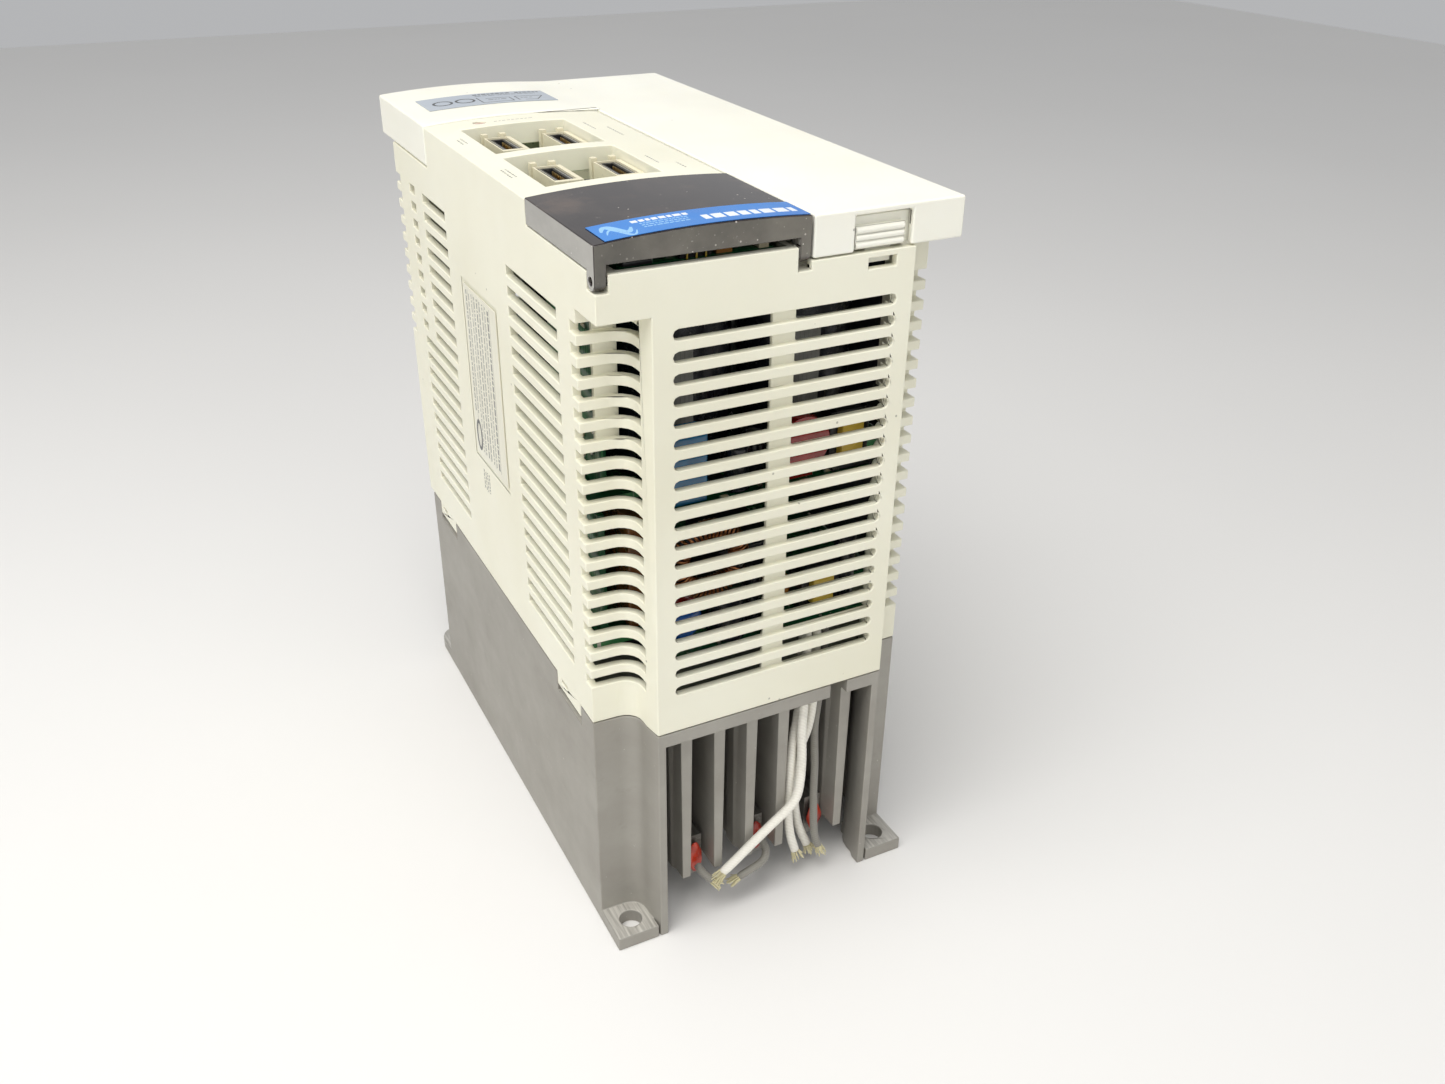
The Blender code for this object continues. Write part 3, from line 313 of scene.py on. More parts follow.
def woven_sleeve(name, colour, shade, thread=3400):
    """A sleeve of woven or coated fibre."""
    look = Look(name, colour, 0.55, Sheen_Weight=0.3)
    weave = look.add(
        "ShaderNodeTexWave",
        {"Vector": look.place, "Scale": thread / 6, "Distortion": 1.2, "Detail": 1.0},
        bands_direction="DIAGONAL",
    ).outputs["Fac"]
    soil = look.noise(160, 4, 0.65)
    body = look.mix(look.span(weave, 0.2, 0.8, 0.0, 0.35), colour, shade)
    look.set_colour(look.mix(look.span(soil, 0.55, 0.85, 0.0, 0.6), body, tuple(c * 0.55 for c in shade)))
    look.bump(weave, 0.00006, 0.6)
    look.bump(look.noise(900, 3, 0.6), 0.00005, 0.5)
    return look.material


def sealant():
    """Red silicone: translucent, wet-looking, with trapped dirt."""
    red = srgb(206, 62, 34)
    look = Look("red_silicone", red, 0.28, Subsurface_Weight=0.25, Coat_Weight=0.3)
    look.shader.inputs["Subsurface Radius"].default_value = (0.003, 0.0008, 0.0005)
    cloud = look.noise(240, 4, 0.6)
    look.set_colour(look.mix(look.span(cloud, 0.4, 0.7), red, srgb(132, 26, 16)))
    look.bump(cloud, 0.0003, 0.6)
    return look.material


def dipped_resin(name, colour):
    """The coating of a dipped component: glossy and slightly uneven."""
    look = Look(name, colour, 0.22, Coat_Weight=0.5)
    cloud = look.noise(180, 3, 0.55)
    look.set_colour(look.mix(look.span(cloud, 0.35, 0.7), colour, tuple(c * 0.6 for c in colour)))
    look.bump(look.noise(260, 2, 0.5), 0.0002, 0.5)
    return look.material


def fin_metal():
    """The resistors' extruded cases: dull, with lengthways draw lines."""
    look = Look("extruded_case", srgb(150, 148, 142), 0.45, 0.8)
    lines = look.noise(1700, 2, 0.5, look.stretched(1, 0.02, 1))
    look.set_colour(look.mix(look.span(lines, 0.3, 0.7), srgb(150, 148, 142), srgb(120, 117, 111)))
    look.bump(lines, 0.00003, 0.7)
    return look.material


def studio_floor():
    look = Look("studio_floor", (0.82, 0.81, 0.79), 0.6)
    look.set_colour(look.mix(look.noise(3, 3, 0.5), (0.80, 0.79, 0.77), (0.84, 0.83, 0.81)))
    look.bump(look.noise(600, 2, 0.5), 0.00002, 0.3)
    return look.material


def make_looks():
    ivory = srgb(238, 236, 218)
    ivory_shade = srgb(229, 226, 205)
    white = srgb(245, 244, 233)
    white_shade = srgb(238, 236, 221)
    return {
        "case_plastic": moulded_plastic("ivory_case", ivory, ivory_shade, 0.42),
        "cover_plastic": moulded_plastic("white_cover", white, white_shade, 0.38),
        "smoke_plastic": smoke_plastic(),
        "cast_aluminium": cast_aluminium(),
        "board_green": circuit_board(),
        "black_plastic": satin_plastic("black_moulding", srgb(30, 30, 32)),
        "cream_plastic": satin_plastic("cream_moulding", srgb(226, 219, 192), 0.4, 0.15),
        "blue_label": printed_film("blue_print", srgb(28, 108, 196), srgb(58, 138, 216), 0.28),
        "grey_label": printed_film("grey_print", srgb(190, 197, 204), srgb(176, 184, 194), 0.35),
        "plate_label": printed_film("plate_print", srgb(233, 231, 216), srgb(222, 219, 200), 0.4),
        "capacitor_sleeve": satin_plastic("shrink_sleeve", srgb(24, 26, 34), 0.25, 0.15),
        "film_blue": dipped_resin("blue_resin", srgb(30, 112, 158)),
        "varistor_red": dipped_resin("red_resin", srgb(168, 40, 32)),
        "brown_resin": dipped_resin("brown_resin", srgb(142, 92, 50)),
        "plated_steel": plated_steel(),
        "resistor_case": fin_metal(),
        "red_sealant": sealant(),
        "white_sleeve": woven_sleeve("white_rubber", srgb(240, 237, 226), srgb(222, 217, 203)),
        "glass_fibre_sleeve": woven_sleeve("glass_fibre", srgb(140, 137, 128), srgb(106, 103, 96), 5200),
        "lamp_red": dipped_resin("lamp_lens", srgb(232, 196, 176)),
    }


LOOKS = make_looks()


def own(slot):
    """A material slot's own look. A finish is a material with the name of its slot."""
    return LOOKS[slot], slot


GOLD = plated_steel("gold_contact", (0.72, 0.52, 0.22), 0.25), "plated_steel"
TIN = plated_steel("tinned_lead", (0.70, 0.69, 0.66), 0.28), "plated_steel"
WHITE_INK = printed_film("white_ink", srgb(236, 240, 244), srgb(226, 232, 240))
PALE_BLUE_INK = printed_film("pale_blue_ink", srgb(150, 198, 238), srgb(136, 188, 232))
GREY_INK = printed_film("grey_ink", srgb(122, 122, 118), srgb(136, 136, 130), 0.5)
DARK_INK = printed_film("dark_ink", srgb(58, 60, 62), srgb(70, 72, 72), 0.4)
CERAMIC = satin_plastic("ceramic_body", srgb(212, 200, 170), 0.35, 0.2), "cream_plastic"
CHIP = satin_plastic("chip_body", srgb(34, 34, 36), 0.35), "black_plastic"
ALUMINIUM_CAN = plated_steel("can_top", (0.72, 0.72, 0.72), 0.35), "plated_steel"
SEGMENT = satin_plastic("display_segment", srgb(150, 48, 36), 0.3, 0.1), "varistor_red"
FIBRE = woven_sleeve("loose_fibre", srgb(216, 208, 168), srgb(190, 180, 138), 6000), "glass_fibre_sleeve"
TAPE = satin_plastic("winding_tape", srgb(206, 176, 66), 0.35, 0.2), "cream_plastic"
WINDING = plated_steel("enamelled_wire", (0.46, 0.20, 0.09), 0.3), "brown_resin"
BLUE_PART = dipped_resin("blue_disc", srgb(36, 92, 170)), "film_blue"
AMBER_PART = dipped_resin("amber_part", srgb(186, 126, 62)), "brown_resin"
INSULATION = satin_plastic("insulating_sheet", srgb(52, 54, 56), 0.5, 0.2), "black_plastic"


def dress_cad_nodes():
    """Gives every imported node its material, by its slot in the record."""
    for part in frame["record"]["subparts"]:
        node = NODES[part["node"]]
        node.data.materials.clear()
        node.data.materials.append(LOOKS[part["material_slot"]])


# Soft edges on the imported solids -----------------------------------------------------


def welded(name):
    """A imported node, shaded smooth, with its split corners joined by a modifier."""
    node = NODES[name]
    custom = node.data.attributes.get("custom_normal")
    if custom:
        node.data.attributes.remove(custom)
    node.data.shade_smooth()
    weld = node.modifiers.new("weld", "WELD")
    weld.merge_threshold = 0.01 * MM
    return node


def soften(name, width, segments=2):
    """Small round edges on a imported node, made by modifiers so that its mesh stays as it is."""
    bevel = welded(name).modifiers.new("edges", "BEVEL")
    bevel.width = width * MM
    bevel.segments = segments
    bevel.limit_method = "ANGLE"
    bevel.angle_limit = math.radians(30)
    bevel.use_clamp_overlap = False
    bevel.loop_slide = False
    bevel.harden_normals = True


def soften_cad_nodes():
    soften("main_case", 0.30)
    soften("front_cover", 0.55, 3)
    soften("smoke_window", 0.30)
    soften("heatsink", 0.30)
    soften("cover_release_knob", 0.2)
    for name in ("rating_plate", "charge_lamp", "display_module", "axis_switch_body", "test_switch_body"):
        soften(name, 0.06)
    for name in ("inrush_relay", "power_module", "rectifier_module", "film_capacitor", "noise_filter"):
        soften(name, 0.6, 3)


# Pieces, drawn in millimetres --------------------------------------------------------


def extent(name):
    """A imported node's lowest corner, highest corner and middle, in millimetres."""
    low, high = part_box(name)
    return low / MM, high / MM, (low + high) / 2 / MM


def mesh_piece(name, bm, finish, body="chassis", smooth=True):
    """A finished piece from a bmesh, riding on a body."""
    bmesh.ops.recalc_face_normals(bm, faces=bm.faces)
    mesh = bpy.data.meshes.new(name)
    bm.to_mesh(mesh)
    bm.free()
    piece = bpy.data.objects.new(name, mesh)
    return finish_piece(piece, finish, body, smooth)


def finish_piece(piece, finish, body, smooth=True):
    material, slot = finish
    EXTRAS.objects.link(piece)
    piece.data.materials.append(material)
    if smooth and piece.type == "MESH":
        piece.data.shade_smooth()
        piece.data.set_sharp_from_angle(angle=math.radians(38))
    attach(piece, body)
    return piece


def add_box(bm, low, high, bevel=0.0):
    """A block between two corners, with its edges rounded."""
    low, high = Vector(low) * MM, Vector(high) * MM
    place = Matrix.Translation((low + high) / 2) @ Matrix.Diagonal((*(high - low), 1))
    made = bmesh.ops.create_cube(bm, size=1, matrix=place)
    if bevel:
        edges = list({edge for vertex in made["verts"] for edge in vertex.link_edges})
        bmesh.ops.bevel(bm, geom=edges, offset=bevel * MM, segments=2, profile=0.5, affect="EDGES")


def add_disc(bm, centre, radius, height, axis="Z", sides=24, top_radius=None):
    """A short round piece about Z or Y, narrower at one end where top_radius is given."""
    turn = Matrix.Rotation(-math.pi / 2, 4, "X") if axis == "Y" else Matrix()
    bmesh.ops.create_cone(
        bm,
        cap_ends=True,
        segments=sides,
        radius1=radius * MM,
        radius2=(radius if top_radius is None else top_radius) * MM,
        depth=height * MM,
        matrix=Matrix.Translation(centre * MM) @ turn,
    )


def bridge(bm, first, second, closed=True):
    """Faces between two rows of as many points; closed rows go round to their start."""
    count = len(first)
    for index in range(count if closed else count - 1):
        after = (index + 1) % count
        bm.faces.new((first[index], first[after], second[after], second[index]))


def add_turned_box(bm, place, angle, axis, size):
    """A block about a place, turned about an axis."""
    turn = Matrix.Translation(place * MM) @ Matrix.Rotation(angle, 4, axis)
    bmesh.ops.create_cube(bm, size=1, matrix=turn @ Matrix.Diagonal((*Vector(size) * MM, 1)))


def lathe(name, profile, centre, finish, body="chassis", sides=40, turn=Matrix.Identity(3)):
    """A piece turned about Z, or about Z after a turn; the profile is (radius, height)."""
    bm = bmesh.new()
    rings = []
    for radius, height in profile:
        ring = []
        for side in range(sides):
            angle = 2 * math.pi * side / sides
            spot = Vector((radius * math.cos(angle), radius * math.sin(angle), height))
            ring.append(bm.verts.new((centre + turn @ spot) * MM))
        rings.append(ring)
    for lower, upper in zip(rings, rings[1:]):
        bridge(bm, lower, upper)
    bm.faces.new(rings[0][::-1])
    bm.faces.new(rings[-1])
    return mesh_piece(name, bm, finish, body)


def wire(name, routes, radius, finish, resolution=3):
    """Round wires along lists of points, as one piece."""
    curve = bpy.data.curves.new(name, "CURVE")
    curve.dimensions = "3D"
    curve.bevel_depth = radius * MM
    curve.bevel_resolution = resolution
    curve.use_fill_caps = True
    for route in routes:
        spline = curve.splines.new("POLY")
        spline.points.add(len(route) - 1)
        for point, place in zip(spline.points, route):
            point.co = (*Vector(place) * MM, 1)
    piece = bpy.data.objects.new(name, curve)
    return finish_piece(piece, finish, "chassis")


# Printing ----------------------------------------------------------------------------


def on_node(name, u, v, view):
    """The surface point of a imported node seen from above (view Z) or from the left (view X)."""
    node = NODES[name]
    inverse = node.matrix_world.inverted()
    start = Vector((u, v, 1.0)) if view == "Z" else Vector((-1.0, u, v))
    way = Vector((0, 0, -1)) if view == "Z" else Vector((1, 0, 0))
    hit, place, _, _ = node.ray_cast(inverse @ start, inverse.to_3x3() @ way)
    if not hit:
        raise ValueError(f"nothing of {name} at {u}, {v}")
    return node.matrix_world @ place, -way


def stroke(bm, node, points, view, step=1.2):
    """A thin closed strip of ink through (u, v, half width) points, in millimetres."""
    fine = []
    for (u0, v0, w0), (u1, v1, w1) in zip(points, points[1:]):
        pieces = max(1, math.ceil(math.hypot(u1 - u0, v1 - v0) / step))
        for index in range(pieces):
            t = index / pieces
            fine.append((u0 + (u1 - u0) * t, v0 + (v1 - v0) * t, w0 + (w1 - w0) * t))
    fine.append(points[-1])
    sections = []
    for index, (u, v, half) in enumerate(fine):
        before = fine[max(index - 1, 0)]
        after = fine[min(index + 1, len(fine) - 1)]
        run = Vector((after[0] - before[0], after[1] - before[1])).normalized()
        section = []
        for side, lift in ((1, 0.012), (-1, 0.012), (-1, -0.02), (1, -0.02)):
            edge_u = (u - side * run.y * half) * MM
            edge_v = (v + side * run.x * half) * MM
            place, normal = on_node(node, edge_u, edge_v, view)
            section.append(bm.verts.new(place + normal * lift * MM))
        sections.append(section)
    for lower, upper in zip(sections, sections[1:]):
        bridge(bm, lower, upper)
    bm.faces.new(sections[0][::-1])
    bm.faces.new(sections[-1])


def printing(name, node, strokes, view, finish, body="chassis"):
    """Strokes of ink on a node, as one piece."""
    bm = bmesh.new()
    for points in strokes:
        stroke(bm, node, points, view)
    mesh_piece(name, bm, finish, body, smooth=False)


def dashes(draw, start, end, across, half, along="u", sizes=(0.5, 1.5), gap=0.4):
    """A row of short bars from start to end, as strokes."""
    rows = []
    at = start
    while at < end:
        stop = min(at + draw.uniform(*sizes), end)
        if stop - at > 0.25:
            if along == "u":
                rows.append([(at, across, half), (stop, across, half)])
            else:
                rows.append([(across, at, half), (across, stop, half)])
        at = stop + gap
    return rows


def ring(centre_u, centre_v, radius_u, radius_v, half):
    """A closed ring or oval as a stroke."""
    points = []
    for turn in range(25):
        angle = 2 * math.pi * turn / 24
        points.append((centre_u + radius_u * math.cos(angle), centre_v + radius_v * math.sin(angle), half))
    return points


def window_label_print():
    """A generic mark and rows of bars on the blue label."""
    draw = random.Random(21)
    wave = []
    for step in range(19):
        t = step / 18
        height = -78.2 + 2.6 * math.sin(2 * math.pi * t)
        wave.append((-40.8 + 6.4 * t, height, 0.25 + 0.75 * math.sin(math.pi * t)))
    under = [(u + 0.4, v - 2.3, half * 0.45) for u, v, half in wave]
    pale = (PALE_BLUE_INK, "blue_label")
    printing("blue_label_mark", "window_label", [wave, under], "Z", pale, "display_window")
    heavy = dashes(draw, -18.6, 3.2, -79.3, 1.55, sizes=(1.3, 3.1), gap=0.65)
    heavy += dashes(draw, -33.2, -20.4, -75.4, 0.75, sizes=(0.9, 1.9), gap=0.4)
    printing("blue_label_bars", "window_label", heavy, "Z", (WHITE_INK, "blue_label"), "display_window")
    fine = []
    for row in range(3):
        fine += dashes(draw, -32.0, -21.2, -77.2 - 1.25 * row, 0.27, sizes=(0.4, 1.2), gap=0.25)
    printing("blue_label_lines", "window_label", fine, "Z", pale, "display_window")


def front_label_print():
    """Two closed rings, a little diagram and two rows of bars on the grey label."""
    draw = random.Random(22)
    lines = [ring(-33.2, 57.8, 2.6, 2.6, 0.36), ring(-26.6, 57.8, 2.6, 2.6, 0.36)]
    thin = 0.16
    corners = [(-22.6, 60.4), (-22.6, 53.0), (-13.4, 53.0), (-13.4, 58.2), (-20.4, 58.2)]
    lines += [[(*a, thin), (*b, thin)] for a, b in zip(corners, corners[1:])]
    corners = [(-11.6, 53.4), (-11.6, 58.6), (-3.2, 58.6), (-6.2, 53.4), (-9.8, 53.4)]
    lines += [[(*a, thin), (*b, thin)] for a, b in zip(corners, corners[1:])]
    lines += dashes(draw, -20.2, -14.4, 56.2, 0.25) + dashes(draw, -10.4, -6.6, 56.4, 0.25)
    lines += dashes(draw, -22.4, -11.0, 64.4, 0.5, sizes=(0.6, 1.3), gap=0.35)
    lines += dashes(draw, -9.6, -2.4, 64.4, 0.5, sizes=(0.6, 1.3), gap=0.35)
    lines += dashes(draw, -22.4, -4.0, 62.4, 0.2, sizes=(0.6, 2.2), gap=0.3)
    printing("grey_label_lines", "front_label", lines, "Z", (DARK_INK, "grey_label"), "cover")


def rating_plate_print():
    """Upright rows of fine print, and a dark oval, on the rating plate and below it."""
    draw = random.Random(23)
    rows = []
    for index in range(9):
        across = 9.4 - 2.25 * index
        low = 121.5 if index < 2 else 110.5
        half = 0.55 if index == 8 else draw.choice((0.28, 0.36, 0.22))
        rows += dashes(draw, low, 156.4, across, half, "v", (0.5, 2.4), 0.4)
    for rule in (-9.9, -5.4, -1.0, 3.6, 8.0):
        rows.append([(rule, 110.0, 0.07), (rule, 156.8, 0.07)])
    printing("plate_lines", "rating_plate", rows, "X", (GREY_INK, "plate_label"))
    oval = ring(7.9, 114.6, 1.9, 4.2, 0.55)
    printing("plate_oval", "rating_plate", [oval], "X", (DARK_INK, "plate_label"))
    below = []
    for row in range(4):
        below += dashes(draw, 98.6, 104.6, 6.4 - 1.5 * row, 0.3, "v", (0.4, 1.2), 0.3)
    printing("case_side_marks", "main_case", below, "X", (GREY_INK, "case_plastic"))


def panel_print():
    """Small marks moulded into the front panel beside the sockets, drawn as grey ink: painted shade in
    place of their relief.
    """
    draw = random.Random(24)
    marks = []
    for low, high in ((11.5, 17.5), (-26.0, -18.0)):
        for across in (-41.6, -40.5):
            marks += dashes(draw, low, high, across, 0.2, "v", (0.3, 0.9), 0.5)
    right = ((12.0, 21.0, -5.2), (3.0, 14.0, -1.0), (-29.0, -21.0, -5.6), (-35.0, -29.5, -1.2))
    for low, high, across in right:
        marks += dashes(draw, low, high, across, 0.2, "v", (0.3, 1.0), 0.5)
    marks += dashes(draw, -27.0, -16.0, 30.9, 0.16, "u", (0.4, 1.2), 0.4)
    # Painted shade: the moulded marks are coloured grey in place of the shade their relief would cast
    printing("panel_relief_shade", "main_case", marks, "Z", (GREY_INK, "case_plastic"))


# Details -----------------------------------------------------------------------------


def contacts():
    """Rows of sprung contacts in the four sockets."""
    for number in range(1, 5):
        low, high, middle = extent(f"contact_insert_{number}")
        bm = bmesh.new()
        rails = bmesh.new()
        for side in (-1, 1):
            first, last = sorted(middle.x + side * reach for reach in (0.85, 1.28))
            for index in range(10):
                y = middle.y + (index - 4.5) * 1.05
                add_box(bm, (first, y - 0.22, high.z - 4.0), (last, y + 0.22, high.z - 0.45), 0.05)
            x = middle.x + side * 1.95
            base = (x - 0.22, low.y + 0.4, high.z - 0.3)
            add_box(rails, base, (x + 0.22, high.y - 0.4, high.z + 0.12), 0.08)
        mesh_piece(f"socket_contacts_{number}", bm, GOLD)
        mesh_piece(f"socket_rails_{number}", rails, TIN)


def chip(bodies, feet, place, size, legs):
    """A leaded chip: a body and two rows of legs."""
    x, y, z = place
    width, length = size
    base = (x - width / 2, y - length / 2, z + 0.25)
    add_box(bodies, base, (x + width / 2, y + length / 2, z + 1.6), 0.12)
    for side in (-1, 1):
        first, last = sorted(x + side * (width / 2 + reach) for reach in (-0.1, 0.9))
        for index in range(legs):
            along = y + (index - (legs - 1) / 2) * length / legs
            add_box(feet, (first, along - 0.16, z + 0.02), (last, along + 0.16, z + 0.7), 0.05)


def populate(board, seed, area, count, surface=None, turn=Matrix()):
    """Small parts over an area of a board: chips, ceramics and solder ends."""
    draw = random.Random(seed)
    if surface is None:
        surface = extent(board)[1].z
    chips, legs, small, ends = bmesh.new(), bmesh.new(), bmesh.new(), bmesh.new()
    taken = []
    (low_x, high_x), (low_y, high_y) = area
    tries = 0
    while len(taken) < count and tries < count * 30:
        tries += 1
        is_chip = draw.random() < 0.22
        reach = 5.5 if is_chip else 2.0
        x = draw.uniform(low_x, high_x)
        y = draw.uniform(low_y, high_y)
        if any(math.hypot(x - a, y - b) < reach + r for a, b, r in taken):
            continue
        taken.append((x, y, reach))
        if is_chip:
            size = (3.9, draw.choice((5.0, 8.6)))
            chip(chips, legs, (x, y, surface), size, draw.choice((4, 7)))
            continue
        lengthways = draw.random() < 0.5
        half_x, half_y = (0.8, 0.4) if lengthways else (0.4, 0.8)
        thickness = draw.uniform(0.5, 0.9)
        base = (x - half_x, y - half_y, surface + 0.02)
        add_box(small, base, (x + half_x, y + half_y, surface + thickness), 0.06)
        half_x, half_y = (0.22, 0.42) if lengthways else (0.42, 0.22)
        for end in (-0.95, 0.95):
            end_x, end_y = (x + end, y) if lengthways else (x, y + end)
            base = (end_x - half_x, end_y - half_y, surface + 0.02)
            add_box(ends, base, (end_x + half_x, end_y + half_y, surface + thickness * 0.9), 0.05)
    parts = (("chips", chips, CHIP), ("chip_legs", legs, TIN))
    parts += (("small_parts", small, CERAMIC), ("solder_ends", ends, TIN))
    for label, bm, finish in parts:
        bmesh.ops.transform(bm, matrix=turn, verts=bm.verts)
        if bm.verts:
            mesh_piece(f"{board}_{label}_{seed}", bm, finish)
        else:
            bm.free()


def populate_boards():
    """The free areas of the three boards; each has its own seed and number of parts."""
    areas = (
        ("control_board", ((-41, 1), (-56, -46)), 16),
        ("control_board", ((-12, 1), (-76, -60)), 3),
        ("control_board", ((-41, 1), (-42, 33)), 10),
        ("driver_board", ((-27, 27), (-80, -68)), 22),
        ("driver_board", ((-41, -31), (-64, 60)), 26),
        ("power_board", ((-27, 13), (-80, -66)), 18),
        ("power_board", ((-41, -33), (-64, 60)), 26),
    )
    for seed, (board, area, count) in enumerate(areas, 1):
        populate(board, seed, area, count)


def capacitors():
    """Electrolytic cans: rolled sleeve, bare top with a scored vent drawn as painted shade, stripe down one
    side.
    """
    for number in range(1, 4):
        name = f"main_capacitor_{number}"
        low, high, centre = extent(name)
        centre.z = low.z
        radius = (high.x - low.x) / 2 - 0.1
        height = high.z - low.z
        groove = height - 37
        profile = [
            (radius - 1.2, 0.0), (radius - 0.3, 0.3), (radius, 1.2), (radius, groove - 1.4),
            (radius - 0.9, groove), (radius, groove + 1.4), (radius, height - 1.1),
            (radius - 0.4, height - 0.35), (radius - 1.3, height), (radius - 2.2, height - 0.05),
            (radius - 2.4, height - 0.5),
        ]
        can = lathe(f"capacitor_sleeve_{number}", profile, centre, own("capacitor_sleeve"))
        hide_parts(name)
        top = bmesh.new()
        add_disc(top, centre + Vector((0, 0, height - 0.35)), radius - 2.5, 0.3, sides=36)
        mesh_piece(f"capacitor_top_{number}", top, ALUMINIUM_CAN)
        # Painted shade: the scored vent's grooves are drawn as thin dark strips on the bare top
        vent = bmesh.new()
        for turn in range(3):
            spot = centre + Vector((0, 0, height - 0.16))
            add_turned_box(vent, spot, math.pi * turn / 3, "Z", (radius * 1.2, 0.35, 0.1))
        mesh_piece(f"capacitor_vent_shade_{number}", vent, (DARK_INK, "black_plastic"), smooth=False)
        stripe = bmesh.new()
        reach = radius + 0.03
        for index in range(9):
            angle = math.radians(235 + index * 4)
            out = Vector((reach * math.cos(angle), reach * math.sin(angle), height * 0.55))
            add_turned_box(stripe, centre + out, angle, "Z", (0.05, 1.0, height * 0.62))
        mesh_piece(f"capacitor_stripe_{number}", stripe, (GREY_INK, "capacitor_sleeve"), smooth=False)


def upright_card(name, x, y, z, seed):
    """A board standing on edge, with parts on its left face."""
    bm = bmesh.new()
    add_box(bm, (x, y[0], z[0]), (x + 1.6, y[1], z[1]), 0.1)
    mesh_piece(name, bm, own("board_green"))
    turn = Matrix(((0, 0, -1, 2 * x * MM), (0, 1, 0, 0), (1, 0, 0, 0), (0, 0, 0, 1)))
    area = ((z[0] + 3, z[1] - 3), (y[0] + 3, y[1] - 3))
    populate(name, seed, area, 26, x, turn)


def small_cans():
    """Small electrolytic cans behind the grille."""
    places = (
        ("driver_board", -7.5, -75.5, 3.1, 12.0),
        ("driver_board", -0.8, -71.5, 3.1, 12.0),
        ("power_board", -10.0, -76.0, 4.9, 14.5),
        ("power_board", -2.5, -76.0, 2.3, 17.0),
        ("power_board", 25.4, -74.0, 2.8, 20.0),
    )
    for number, (board, x, y, radius, height) in enumerate(places, 1):
        centre = Vector((x, y, extent(board)[1].z + 0.3))
        profile = (
            (radius - 0.6, 0.0), (radius, 0.5), (radius, 1.6), (radius - 0.45, 2.2), (radius, 2.8),
            (radius, height - 0.7), (radius - 0.7, height), (radius - 1.0, height - 0.2),
        )
        lathe(f"small_can_{number}", profile, centre, own("capacitor_sleeve"), sides=28)
        top = bmesh.new()
        add_disc(top, centre + Vector((0, 0, height - 0.15)), radius - 1.05, 0.2)
        mesh_piece(f"small_can_top_{number}", top, ALUMINIUM_CAN)


def transformer(name, centre, size):
    """A wound transformer: a dark core round a taped winding, on a moulded foot."""
    x, y, z = centre
    width, depth, height = size
    left, right = x - width / 2, x + width / 2
    near, far = y - depth / 2, y + depth / 2
    inside_near, inside_far = y - depth * 0.32, y + depth * 0.32
    rim = 0.2 * width
    top = z + height
    core = bmesh.new()
    bars = ((left, left + rim, z + 2), (right - rim, right, z + 2), (left, right, top - rim))
    for first, last, base in bars:
        add_box(core, (first, inside_near, base), (last, inside_far, top), 0.3)
    mesh_piece(f"{name}_core", core, CHIP)
    winding = bmesh.new()
    add_box(winding, (left + rim, near, z + 2.2), (right - rim, far, top - rim), 1.2)
    mesh_piece(f"{name}_winding", winding, TAPE)
    foot = bmesh.new()
    add_box(foot, (left, near, z + 0.2), (right, far, z + 2), 0.3)
    mesh_piece(f"{name}_foot", foot, CHIP)


def choke(name, centre, radius, thickness):
    """A ring core with a wire wound round it."""

    def spot(reach, around, about):
        """A place round the ring, at a reach from the middle of its section."""
        out = radius + reach * math.cos(about)
        place = Vector((out * math.cos(around), reach * math.sin(about), out * math.sin(around)))
        return Vector(centre) + place

    turns, sides = 44, 8
    steps = turns * sides
    coil = []
    for step in range(steps + 1):
        around = 2 * math.pi * step / steps * 0.93
        coil.append(spot(thickness, around, 2 * math.pi * step / sides))
    wire(f"{name}_wire", [coil], 0.38, WINDING, 1)
    bm = bmesh.new()
    steps, corners = 40, 12
    rows = []
    for step in range(steps):
        around = 2 * math.pi * step / steps
        angles = [2 * math.pi * corner / corners for corner in range(corners)]
        rows.append([bm.verts.new(spot(thickness - 0.5, around, about) * MM) for about in angles])
    for step in range(steps):
        bridge(bm, rows[step], rows[(step + 1) % steps])
    mesh_piece(f"{name}_core", bm, CHIP)


def discs():
    """Disc capacitors standing at the near edge of the boards."""
    places = (
        ("driver_board", -22.0, -68.5, 4.2, BLUE_PART),
        ("driver_board", 12.5, -69.5, 3.6, AMBER_PART),
        ("power_board", -22.5, -77.5, 5.0, BLUE_PART),
        ("power_board", 6.5, -72.0, 4.2, AMBER_PART),
        ("power_board", -17.5, -70.0, 4.4, own("varistor_red")),
    )
    for number, (board, x, y, radius, finish) in enumerate(places, 1):
        top = extent(board)[1].z
        place = Matrix.Translation(Vector((x, y, top + radius + 3.2)) * MM)
        place @= Matrix.Diagonal((radius * MM, 1.9 * MM, radius * MM, 1))
        bm = bmesh.new()
        bmesh.ops.create_uvsphere(bm, u_segments=28, v_segments=14, radius=1, matrix=place)
        mesh_piece(f"disc_capacitor_{number}", bm, finish)
        legs = []
        for side in (-1, 1):
            foot = x + side * 2.4
            legs.append(((foot, y, top + 0.1), (foot, y, top + 3.3), (foot - side * 0.6, y, top + 4.7)))
        wire(f"disc_legs_{number}", legs, 0.3, TIN, 2)


def insulating_sheets():
    """Dark sheets that stand between the boards and the right wall."""
    bm = bmesh.new()
    for base, top in ((88.2, 125.6), (128.2, 176.0)):
        add_box(bm, (41.2, -62, base), (41.8, 62, top), 0.1)
    mesh_piece("insulating_sheets", bm, INSULATION)


